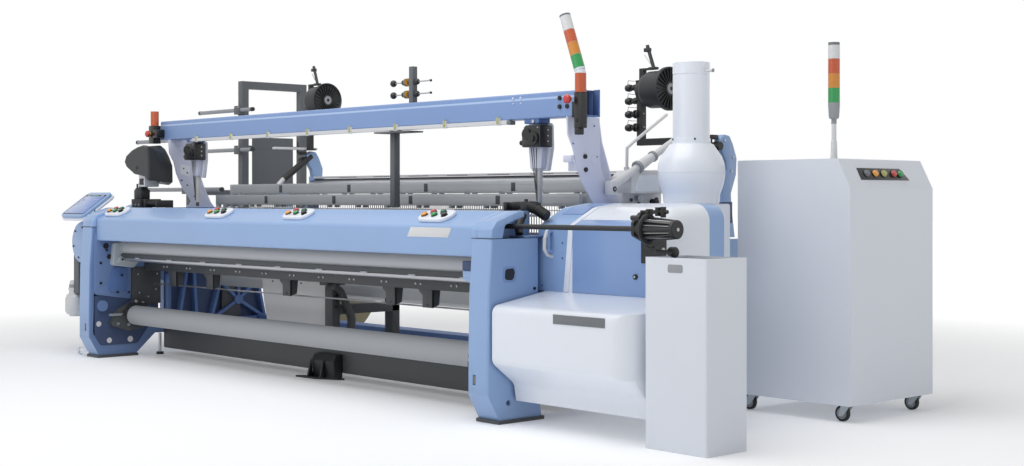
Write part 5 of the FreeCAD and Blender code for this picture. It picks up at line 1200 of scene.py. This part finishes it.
# levers and drive case that lift the heald frames
def makeShedLinkage():
    link = {"x": 2.145, "low": 1.040, "lean": Vector((0, 0.89, 0.456)).normalized()}
    low, lean = link["low"], link["lean"]
    start = Vector((link["x"], 0.780, low + 0.118))
    piece = Piece("shedLinkage").use("lens")
    piece.block((2.010, 0.935, low), (2.090, 1.245, low + 0.095), 0.006)
    piece.prism(0, 2.010, 2.155, [
        (0.935, low + 0.090), (1.225, low + 0.090), (1.240, low + 0.150, 0.03),
        (1.180, low + 0.210, 0.03), (0.980, low + 0.215, 0.03), (0.935, low + 0.180)], 0.006)
    piece.use("case")
    piece.prism(0, 2.150, 2.162, [(0.960, low + 0.10), (1.150, low + 0.10), (1.150, low + 0.19, 0.03),
                                  (0.990, low + 0.19, 0.03)], 0.003)
    for number in range(5):
        place = 1.175 + number * 0.012
        piece.block((2.020, place, low + 0.105), (2.158, place + 0.006, low + 0.19), 0.001)
    piece.use("lens").rod(start, start + lean * 0.590, 0.020, 24)
    piece.rod(start + lean * 0.02, start + lean * 0.14, 0.028, 24, 0.023)
    piece.rod(start + lean * 0.250, start + lean * 0.370, 0.030, 24, 0.024)
    piece.use("grey").rod(start + lean * 0.235, start + lean * 0.252, 0.036, 24)
    piece.rod(start + lean * 0.368, start + lean * 0.384, 0.030, 24)
    piece.use("lens").block((2.120, 0.765, 1.118), (2.172, 0.815, 1.196), 0.010)
    piece.use("black").rod((2.170, 0.790, 1.152), (2.174, 0.790, 1.152), 0.014, 18)
    piece.use("steel").rod((2.172, 0.790, 1.152), (2.176, 0.790, 1.152), 0.007, 6)
    piece.use("lens")
    piece.hose([(2.060, 1.000, 1.235), (2.060, 1.003, 1.375), (2.060, 1.045, 1.402),
                (2.060, 1.320, 1.565)], 0.0085, 12)
    piece.rod((2.060, 1.000, 1.245), (2.060, 1.000, 1.272), 0.015, 16)
    piece.use("dark")
    for y, z in ((1.00, 1.095), (1.06, 1.075), (1.13, 1.10), (1.20, 1.085)):
        piece.bolt((2.090 if z < 1.1 else 2.155, y, z), 1, 0.010)
    piece.use("black").rod((2.090, 1.165, 1.085), (2.130, 1.165, 1.085), 0.016, 16)
    piece.use("steel").rod((2.090, 1.040, 1.105), (2.118, 1.040, 1.105), 0.014, 16)
    piece.done("shed_linkage")
    print("power loom: shed linkage made")


# the creel stand behind the loom: round rods with black ends, clamps and gusset plates
def makeCreel():
    creel = {"x": -2.600, "rod": 0.0155, "end": 0.022, "outer": 1.496, "inner": 1.031}
    x, outer, inner, end = creel["x"], creel["outer"], creel["inner"], creel["end"]
    stand = Piece("creelStand").use("stand").copyOf("creel_stand")
    rods = ((outer, 1.800, -3.190, -2.390), (outer, 1.487, -3.190, -2.390),
            (inner, 1.555, -3.370, -2.370), (inner, 1.172, -3.180, -2.080))
    for y, z, low, high in rods:
        stand.use("grey").rod((low + 0.012, y, z), (high - 0.012, y, z), creel["rod"], 18)
        stand.use("black").rod((low, y, z), (low + end, y, z), creel["rod"] + 0.001, 18)
        stand.rod((high - end, y, z), (high, y, z), creel["rod"] + 0.001, 18)
        stand.use("stand").block((x - 0.040, y - 0.020, z - 0.034), (x + 0.040, y + 0.030, z + 0.034),
                                 0.003)
        stand.use("steel").bolts(-2, y - 0.020, ((x - 0.026, z + 0.022), (x + 0.026, z + 0.022)), 0.005)
    stand.use("darkGrey").bolts(1, x + 0.004, ((1.640, 1.180), (1.640, 1.570), (1.900, 1.180),
                                               (1.900, 1.570)), 0.006)
    stand.done("creel_stand", bevel=0.002)
    print("power loom: creel stand made")


# drums that hold spare yarn on masts at the back, and the yarn tensioners beside the right one
def makeDrums():
    drum = {"y": 1.760, "long": 0.170, "rim": 0.130, "ribs": 24,
            "places": (("right", 1.505, 1.750), ("left", -1.960, 1.850))}
    y, long, rim = drum["y"], drum["long"], drum["rim"]
    for side, x, z in drum["places"]:
        piece = Piece(side + "YarnDrum", side + "_drum").use("shell")
        piece.lathe((x, y, z), 0, [
            (0.0, 0.0125), (0.0, 0.072), (0.006, 0.080), (0.024, 0.102), (0.045, 0.110),
            (long - 0.004, 0.112), (long, 0.120), (long + 0.002, rim), (long + 0.024, rim),
            (long + 0.026, rim - 0.004), (long + 0.020, rim - 0.010), (long + 0.012, 0.112),
            (long + 0.012, 0.042), (long + 0.026, 0.040), (long + 0.026, 0.0125)], 56)
        piece.use("black")
        for number in range(drum["ribs"]):
            piece.stand((x, y, z), "X", math.tau * number / drum["ribs"])
            piece.block((long + 0.010, -0.0022, 0.040), (long + 0.024, 0.0022, 0.114))
        piece.stand().use("grey").lathe((x, y, z), 0, [
            (long + 0.026, 0.0125), (long + 0.0295, 0.0125), (long + 0.0295, 0.030),
            (long + 0.020, 0.034)], 32)
        piece.done(side + "_drum")
    mast = Piece("drumMasts").use("black").copyOf("drum_masts")
    for side, x, z in drum["places"]:
        mast.use("black").lathe((x - 0.045, y, z), 0, [
            (0.0, 0.0), (0.0, 0.056), (0.008, 0.064), (0.034, 0.070), (0.040, 0.070),
            (0.040, 0.0)], 40)
        mast.use("shell").block((x + 0.030, y - 0.018, z + 0.120), (x + 0.085, y + 0.018, z + 0.136),
                                0.003)
        # the leaning feeler over the drum
        top = Vector((x + 0.060, y, z + 0.128))
        way = Vector((-0.35, 0, 0.94)).normalized()
        tip = top + way * 0.118
        mast.rod(top, top + way * 0.150, 0.011, 12)
        mast.block(tip - Vector((0.030, 0.014, 0.010)), tip + Vector((0.012, 0.014, 0.014)), 0.004)
        mast.use("steel").rod(top + Vector((-0.012, 0, 0.01)), top + Vector((-0.075, 0, 0.085)),
                              0.003, 8)
    row = {"count": 4, "withDiscs": 2, "low": 1.530, "pitch": 0.080, "x": 1.372, "y": 1.752}
    x, y = row["x"], row["y"]
    for number in range(row["count"]):
        z = row["low"] + number * row["pitch"]
        mast.use("steel").rod((x, y, z), (1.500, y, z), 0.0045, 8)
        mast.use("gloss").ball((x, y, z), 0.0235, 8)
        mast.use("steel").hose([(1.365, 1.745, z + 0.020), (1.375, 1.742, z + 0.046),
                                (1.405, 1.742, z + 0.040), (1.450, 1.745, z + 0.038)], 0.0022, 6)
        if number < row["withDiscs"]:
            for place in (1.420, 1.446):
                mast.use("black").rod((place, y, z), (place + 0.012, y, z), 0.026, 20)
                mast.use("shell").rod((place + 0.011, y, z), (place + 0.016, y, z), 0.018, 16)
    mast.done("drum_masts", bevel=0.002)
    print("power loom: yarn drums made")


# the roller that winds off the waste selvage, and the arms that carry it
def makeWasteRoller():
    roller = {"y": 0.100, "z": 0.96496, "start": 2.0104, "flange": 3.032, "ribs": 8, "shaft": 0.0125}
    y, z, flange, start, shaft = (roller["y"], roller["z"], roller["flange"], roller["start"],
                                  roller["shaft"])
    piece = Piece("wasteRoller", "waste").use("black")
    piece.lathe((0, y, z), 0, [
        (start, 0.0), (start, shaft), (flange - 0.030, shaft), (flange - 0.028, 0.020),
        (flange - 0.002, 0.022), (flange, 0.062), (flange + 0.003, 0.067), (flange + 0.012, 0.067),
        (flange + 0.016, 0.060), (flange + 0.018, 0.044), (flange + 0.162, 0.036),
        (flange + 0.162, 0.040), (flange + 0.165, 0.0425), (flange + 0.181, 0.0425),
        (flange + 0.185, 0.038), (flange + 0.185, 0.0)], 56)
    piece.use("gloss")
    for number in range(roller["ribs"]):
        piece.stand((flange, y, z), "X", math.tau * number / roller["ribs"])
        piece.prism(1, -0.0075, 0.0075, [(0.014, 0.036), (0.168, 0.032), (0.168, 0.0430),
                                         (0.014, 0.0565)], 0.002)
    # thin steel rods in the flutes are painted highlight, streaks of light along the drum
    piece.use("steel")
    for number in range(roller["ribs"]):
        piece.stand((flange, y, z), "X", math.tau * (number + 0.5) / roller["ribs"])
        piece.rod((0.016, 0, 0.0460), (0.162, 0, 0.0385), 0.0016, 6)
    piece.stand().use("lens").rod((flange + 0.184, y, z), (flange + 0.187, y, z), 0.008, 16)
    piece.done("waste_roller")
    arm = Piece("wasteArms").use("black").copyOf("waste_bracket")
    plate = flange - 0.042
    arm.rod((plate - 0.010, y, z), (plate + 0.026, y, z), 0.030, 24)
    arm.block((plate + 0.010, y + 0.024, z + 0.062), (plate + 0.030, y + 0.060, z + 0.090), 0.004)
    arm.rod((plate + 0.050, y + 0.041, z + 0.077), (plate + 0.130, y + 0.041, z + 0.077), 0.009, 12)
    arm.rod((plate + 0.104, y + 0.041, z + 0.052), (plate + 0.104, y + 0.041, z + 0.100), 0.013, 14)
    arm.rod((plate - 0.012, 0.060, z + 0.050), (plate + 0.040, 0.060, z + 0.050), 0.012, 12)
    arm.hose([(plate + 0.020, y + 0.02, z - 0.080), (plate + 0.045, y + 0.02, z - 0.092),
              (plate + 0.075, y + 0.025, z - 0.084)], 0.009, 10)
    # the knob on its stem below the roller
    knob = (plate + 0.090, 0.200, 0.860)
    arm.rod((plate + 0.012, *knob[1:]), knob, 0.010, 12)
    arm.lathe(knob, 0, [(0.0, 0.0), (0.0, 0.020), (0.006, 0.025), (0.034, 0.025), (0.040, 0.019),
                        (0.040, 0.0)], 24)
    arm.use("steel").bolts(1, plate + 0.016, ((0.150, 0.9125), (0.235, 0.870)), 0.008)
    arm.done("waste_bracket", bevel=0.002)
    print("power loom: waste roller made")


# the bin for the waste at the right, with its bare plate
def makeBin():
    plate = {"x": 3.2775, "front": 0.013, "half": 0.043, "low": 0.780, "high": 0.816}
    x, front, half = plate["x"], plate["front"], plate["half"]
    piece = Piece("wasteBin").use("case").copyOf("waste_bin")
    piece.use("grey").prism(1, front - 0.0015, front + 0.004, cornered(
        (x - half, plate["low"]), (x + half, plate["high"]), 0.010), 0.001)
    piece.done("waste_bin", bevel=0.003, segments=3)
    print("power loom: bin made")


# the control cabinet with its lamps, its rear door and slots, and the beacon on its roof
def makeCabinet():
    box = {"left": 2.600, "right": 3.300, "back": 2.000, "high": 1.300, "slopeLow": 1.154,
           "slopeRun": 0.075, "slots": 12, "slotPitch": 0.022}
    right, back, high, slopeLow = box["right"], box["back"], box["high"], box["slopeLow"]
    shell = Piece("controlCabinet").use("case").copyOf("cabinet")
    turn = math.atan2(high - slopeLow, box["slopeRun"])
    middle = (right - box["slopeRun"] / 2, 0, (high + slopeLow) / 2)
    # the plain lamps that the solid has on its slope make way for coloured ones
    flat = (Matrix.Translation(middle) @ Matrix.Rotation(turn, 4, "Y")).inverted()
    shell.drop(lambda spot: 1.38 < spot.y < 1.83 and (flat @ spot).z > 0.0015
               and abs((flat @ spot).x) < 0.05)
    shell.stand(middle, "Y", turn)
    shell.use("gloss").prism(2, -0.001, 0.0025, [(-0.030, 1.393), (0.036, 1.393), (0.036, 1.816),
                                                 (-0.030, 1.770)], 0.001)
    for y, kind in ((1.453, "darkGrey"), (1.526, "amber"), (1.601, "yellow"), (1.689, "red"),
                    (1.748, "green")):
        shell.use("black").rod((0.002, y, 0.0020), (0.002, y, 0.0060), 0.0215, 28)
        shell.use(kind).rod((0.002, y, 0.0060), (0.002, y, 0.0180), 0.0180, 28, 0.0140)
    shell.stand().use("case")
    shell.block((box["left"] + 0.02, back - 0.0006, 0.125), (right - 0.10, back + 0.0012, 1.200), 0.001)
    shell.use("darkGrey")
    for row in range(box["slots"]):
        z = 0.860 + row * box["slotPitch"]
        shell.block((2.760, back - 0.0006, z), (3.120, back + 0.0018, z + 0.008), 0.0005)
    shell.done("cabinet", bevel=0.004, segments=3)
    tower = {"x": 3.040, "y": 1.500, "low": 1.300, "radius": 0.030, "drums": (0.292, 0.586)}
    x, y, low, radius = tower["x"], tower["y"], tower["low"], tower["radius"]
    start, end = tower["drums"]
    beacon = Piece("cabinetBeacon").use("lens")
    beacon.lathe((x, y, low), 2, [
        (0.0, 0.0), (0.0, 0.044), (0.004, 0.044), (0.006, 0.018), (0.050, 0.0165),
        (0.095, 0.0150), (0.098, 0.0125), (0.213, 0.0125), (0.213, 0.0)], 32)
    beacon.use("grey").lathe((x, y, low), 2, [
        (0.184, 0.0), (0.184, 0.0135), (0.208, 0.0135), (0.212, 0.0240), (0.222, 0.0265),
        (0.284, 0.0300), (0.288, radius), (start, radius), (start, 0.0)], 40)
    stackDrums(beacon, (x, y, low + start), (x, y, low + end), [
        ("green", 0.0750), ("orange", 0.0730), ("orangeRed", 0.0760), ("lens", 0.0700)], radius)
    beacon.use("darkGrey").rod((x, y, low + 0.585), (x, y, low + 0.600), radius * 0.97, 32)
    beacon.done("cabinet_beacon")
    print("power loom: cabinet made")


# the four swivel casters of the cabinet, each fork with its tyre and hub
def makeCasters():
    caster = {"radius": 0.040, "wide": 0.026}
    half, radius = caster["wide"] / 2, caster["radius"]
    tyre = [(0.002, 0.029), (0.0, 0.031), (0.001, radius - 0.003), (0.005, radius - 0.0003)]
    hub = [(0.001, 0.0065), (0.001, 0.014), (0.006, 0.016), (0.006, 0.026), (0.002, 0.0295)]
    for number in range(1, 5):
        fork = Piece(f"casterFork{number}", f"caster_{number}").use("casting")
        fork.copyOf(f"caster_fork_{number}").done(f"caster_fork_{number}", bevel=0.001)
        low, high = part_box(f"caster_wheel_{number}")
        centre = (low + high) / 2 - loomShift
        tread = Piece(f"casterTyre{number}", f"caster_roll_{number}").use("rubber")
        for kind, profile, steps in (("rubber", tyre, 48), ("grey", hub, 36)):
            # one side of the wheel, and the same again on the other side
            near = [(-half + along, out) for along, out in profile]
            far = [(half - along, out) for along, out in reversed(profile)]
            tread.use(kind).lathe(centre, 1, near + far, steps)
        tread.done(f"caster_wheel_{number}")
    print("power loom: casters made")


# four heald frames of light metal, each with its wires, slots and clamps
def makeHealds():
    heald = {"frames": 4, "low": 0.480, "lift": 0.075, "first": 0.840, "pitch": 0.060,
             "reach": 1.860, "tall": 0.650, "rail": 0.070, "stile": 0.040, "thick": 0.026,
             "wires": 168, "clamps": 12}
    reach, rail, thick = heald["reach"], heald["rail"], heald["thick"]
    inner = reach - heald["stile"] - 0.03
    for number in range(heald["frames"]):
        # the two frames at the back stand lifted
        base = heald["low"] + (heald["lift"] if number > 1 else 0)
        y = heald["first"] + heald["pitch"] * number
        back = y + thick
        top = base + heald["tall"]
        piece = Piece(f"healdFrame{number + 1}", f"heald_{number + 1}").use("alloy")
        for low in (base, top - rail):
            piece.block((-reach, y, low), (reach, back, low + rail), 0.0025)
            for shelf in (low + 0.018, low + rail - 0.022):
                piece.block((-reach + 0.03, y - 0.0008, shelf), (reach - 0.03, back + 0.0008,
                                                                 shelf + 0.004))
        for side in (-1, 1):
            left, right = span(side, reach, reach - heald["stile"])
            piece.block((left, y + 0.001, base + rail - 0.002),
                        (right, back - 0.001, top - rail + 0.002), 0.002)
        piece.use("steel")
        for low in (base + rail + 0.022, top - rail - 0.026):
            piece.block((-inner, y + 0.010, low), (inner, y + 0.0125, low + 0.005))
        piece.use("darkGrey")
        for wire in range(heald["wires"]):
            x = -inner + 0.05 + (inner * 2 - 0.10) * wire / (heald["wires"] - 1)
            piece.block((x - 0.0006, y + 0.0095, base + rail + 0.018),
                        (x + 0.0006, y + 0.0125, top - rail - 0.018))
        piece.use("grey")
        for clamp in range(heald["clamps"]):
            x = -reach + 0.15 + (reach * 2 - 0.30) * clamp / (heald["clamps"] - 1)
            piece.block((x - 0.012, y - 0.0012, top - rail - 0.014),
                        (x + 0.012, back + 0.0012, top - rail + 0.012), 0.002)
            piece.block((x - 0.030, y + 0.003, top - 0.0008), (x + 0.030, back - 0.003, top + 0.0012))
        piece.use("dark")
        for place in (-1.2, -0.4, 0.4, 1.2):
            piece.block((place - 0.018, y - 0.002, top - 0.060), (place + 0.018, y + 0.001,
                                                                  top - 0.010), 0.002)
        piece.done(f"heald_frame_{number + 1}")
    print("power loom: heald frames made")


# the warp beam between its big flanges
def makeWarpBeam():
    beam = {"y": 1.960, "z": 0.425, "out": 1.945, "flange": 0.400, "core": 0.090, "stub": 0.044,
            "bolts": 8, "boltRing": 0.112}
    out, flange, core, stub = beam["out"], beam["flange"], beam["core"], beam["stub"]
    axis = (0, beam["y"], beam["z"])
    piece = Piece("warpBeam", "warp").use("roller")
    piece.lathe(axis, 0, [(-out + 0.010, 0.0), (-out + 0.010, core), (out - 0.010, core),
                          (out - 0.010, 0.0)], 56)
    disc = [(0.0, stub), (-0.002, 0.130), (-0.002, 0.150), (0.0, 0.156), (0.0, flange - 0.030),
            (0.0, flange - 0.004), (-0.003, flange), (-0.013, flange), (-0.016, flange - 0.004),
            (-0.016, core)]
    hub = [(-0.004, 0.0), (-0.004, 0.085), (0.0, 0.080), (0.001, stub), (0.094, stub), (0.094, 0.0)]
    for side in (-1, 1):
        for kind, profile, steps in (("olive", disc, 96), ("steel", hub, 40)):
            piece.use(kind).lathe(axis, 0, [(side * (out + along), radius) for along, radius in profile],
                                  steps)
        piece.use("dark")
        for number in range(beam["bolts"]):
            angle = math.tau * number / beam["bolts"]
            piece.bolt((side * (out - 0.001), beam["y"] + beam["boltRing"] * math.cos(angle),
                        beam["z"] + beam["boltRing"] * math.sin(angle)), side, 0.008)
    piece.done("warp_beam")
    print("power loom: warp beam made")


# the arms and dampers of the back rest, and the notched plate across the warp
def makeBackRest():
    arm = {"middle": 2.050, "inner": 2.032, "outer": 2.080, "half": 0.030}
    half = arm["half"]
    fit = Piece("backRestDampers")
    for side in (-1, 1):
        x = side * arm["middle"]
        if side < 0:
            fit.use("lens").block((x - half, 1.467, 1.478), (x + half, 1.843, 1.496), 0.003)
        fit.use("castBlue").block((x - 0.035, 1.470, 1.1505), (x + 0.035, 1.640, 1.205), 0.006)
        fit.use("lens").rod((x, 1.500, 1.205), (x, 1.560, 1.262), 0.018, 16)
        fit.use("black").rod((x, 1.550, 1.252), (x, 1.800, 1.432), 0.026, 22)
        fit.use("steel").rod((x, 1.780, 1.418), (x, 1.830, 1.445), 0.014, 14)
        fit.use("blue").block((x - half, 1.500, 1.0405), (x + half, 1.620, 1.155), 0.004)
        left, right = span(side, arm["inner"], arm["outer"])
        fit.prism(0, left, right, [
            (1.752, 1.440, 0.02), (1.790, 1.470, 0.02), (1.838, 1.462, 0.02), (1.868, 1.415),
            (1.902, 1.335, 0.04), (1.896, 1.240), (1.850, 1.130, 0.03), (1.858, 1.040),
            (1.886, 0.880), (1.752, 0.880), (1.768, 1.060), (1.784, 1.170), (1.814, 1.270, 0.03),
            (1.806, 1.320, 0.03), (1.765, 1.385, 0.02)], 0.004)
        fit.use("black").block((x - 0.020, 1.691, 1.440), (x + 0.020, 1.752, 1.466), 0.005)
        fit.rod((x - 0.006, 1.739, 1.402), (x + side * 0.046, 1.739, 1.402), 0.024, 22)
        fit.rod((x, 1.680, 1.455), (x, 1.680, 1.540), 0.006, 10)
        # a block low on each arm is painted in the deep shade blue
        fit.use("deepShadeBlue").block((left - 0.002, 1.770, 0.960), (right + 0.002, 1.862, 1.085), 0.006)
        fit.use("steel").bolts(side, side * arm["outer"], ((1.790, 1.435), (1.866, 1.340),
                                                           (1.850, 1.260)), 0.008)
    fit.done("back_rest_arms")
    guard = {"reach": 1.945, "notchPitch": 0.024, "notch": 0.014, "notches": 9}
    plate = Piece("warpGuardPlate").use("lens")
    plate.block((-guard["reach"], 1.752, 1.2565), (guard["reach"], 1.762, 1.272), 0.001)
    plate.use("alloy").block((-guard["reach"], 1.760, 1.268), (guard["reach"], 1.842, 1.272), 0.001)
    plate.use("dark")
    for group in range(-4, 5):
        for number in range(guard["notches"]):
            x = group * 0.42 + 0.18 - 0.10 + number * guard["notchPitch"]
            plate.block((x, 1.7512, 1.2595), (x + guard["notch"], 1.7525, 1.2655))
    plate.use("blue")
    for side in (-1, 1):
        left, right = span(side, 1.940, 2.004)
        plate.block((left, 1.750, 1.240), (right, 1.850, 1.273), 0.003)
    plate.done()
    print("power loom: back rest made")


dressSolids()
makeFeet()
makeFrontCover()
makeFrameTrim()
makeLeftInside()
makePods()
makePlates()
makeBreastBeam()
makeCentreStand()
makeOverheadBeam()
makeUprights()
makeSelvageDevices()
makeBeamPosts()
makeLamps()
makeWeftHood()
makeSleeves()
makeTerminal()
makeLeftGuards()
makeRapierCovers()
makeDrive()
makeDuct()
makeShedLinkage()
makeCreel()
makeDrums()
makeWasteRoller()
makeBin()
makeCabinet()
makeCasters()
makeHealds()
makeWarpBeam()
makeBackRest()


# the room: pale floor, even light from above and from the front left
studio = {"floor": tone(244, 245, 247), "floorHalf": 60, "whiteFrom": 3.4, "whiteRate": 0.3,
          "nearGlow": 0.15, "sky": 0.34, "key": 290.0, "fill": 45.0, "side": 15.0}


def seenPath(shader):
    # 1 for what the camera sees, by itself or in metal and glass, and 0 for light on the loom
    path = shader.add("ShaderNodeLightPath", {}, {})
    seen = Link(shader, path.outputs["Is Camera Ray"])
    for other in ("Is Glossy Ray", "Is Transmission Ray"):
        seen = seen + Link(shader, path.outputs[other])
    return seen.clamp()


def makeRoom():
    floor = bmesh.new()
    bmesh.ops.create_grid(floor, x_segments=1, y_segments=1, size=studio["floorHalf"])
    data = bpy.data.meshes.new("floor")
    floor.to_mesh(data)
    floor.free()
    ground = bpy.data.objects.new("floor", data)
    bpy.context.scene.collection.objects.link(ground)
    # far from the loom the floor runs out into plain white
    material = bpy.data.materials.new("paleFloor")
    shader = Shader(material)
    place = shader.add("ShaderNodeTexCoord", {}, {})
    away = shader.add("ShaderNodeVectorMath", {"operation": "LENGTH"}, {
        "Vector": Link(shader, place.outputs["Object"])})
    far = ((Link(shader, away.outputs["Value"]) - studio["whiteFrom"]) * studio["whiteRate"]).clamp()
    glow = [studio["nearGlow"]] * 3 + [1]
    shader.feed(shader.surface.inputs["Base Color"], shader.mixed(far, studio["floor"], (0, 0, 0, 1)))
    shader.feed(shader.surface.inputs["Emission Color"], shader.mixed(far, glow, (1, 1, 1, 1)))
    shader.feed(shader.surface.inputs["Emission Strength"], 1.0)
    shader.feed(shader.surface.inputs["Roughness"], 1.0)
    data.materials.append(material)
    world = bpy.data.worlds.new("room")
    bpy.context.scene.world = world
    sky = Shader(world)
    backdrop = sky.tree.nodes["Background"]
    sky.feed(backdrop.inputs["Color"], (1, 1, 1, 1))
    sky.feed(backdrop.inputs["Strength"], seenPath(sky) * (1 - studio["sky"]) + studio["sky"])


def addLamp(name, place, target, size, power):
    # a square soft lamp that looks at its target
    light = bpy.data.lights.new(name, "AREA")
    light.size = size
    light.energy = power
    lamp = bpy.data.objects.new(name, light)
    lamp.location = place
    lamp.rotation_euler = (Vector(target) - Vector(place)).to_track_quat("-Z", "Y").to_euler()
    bpy.context.scene.collection.objects.link(lamp)


makeRoom()
addLamp("softBoxAbove", (1.0, -2.5, 6.5), (0, 0, 0.5), 6.0, studio["key"])
addLamp("softBoxFront", (0.5, -7.5, 3.5), (0, 0, 0.7), 4.0, studio["fill"])
addLamp("softBoxRight", (8.0, 0.5, 3.5), (0, 0, 0.8), 4.0, studio["side"])
print("power loom: room lit")

# the camera stands level at the photograph's place, with its picture moved down a little
view = {"place": (7.603, -4.881, 1.10), "towards": (-0.7393, 0.6733, 0.0), "lens": 52.77,
        "film": 36, "shift": -34 / 1024, "farthest": 200}
cameraData = bpy.data.cameras.new("camera")
cameraData.lens = view["lens"]
cameraData.sensor_width = view["film"]
cameraData.shift_y = view["shift"]
cameraData.clip_end = view["farthest"]
camera = bpy.data.objects.new("camera", cameraData)
camera.location = Vector(view["place"]) + loomShift
camera.rotation_euler = Vector(view["towards"]).to_track_quat("-Z", "Y").to_euler()
bpy.context.scene.collection.objects.link(camera)
bpy.context.scene.camera = camera
bpy.context.scene.view_settings.view_transform = "Standard"
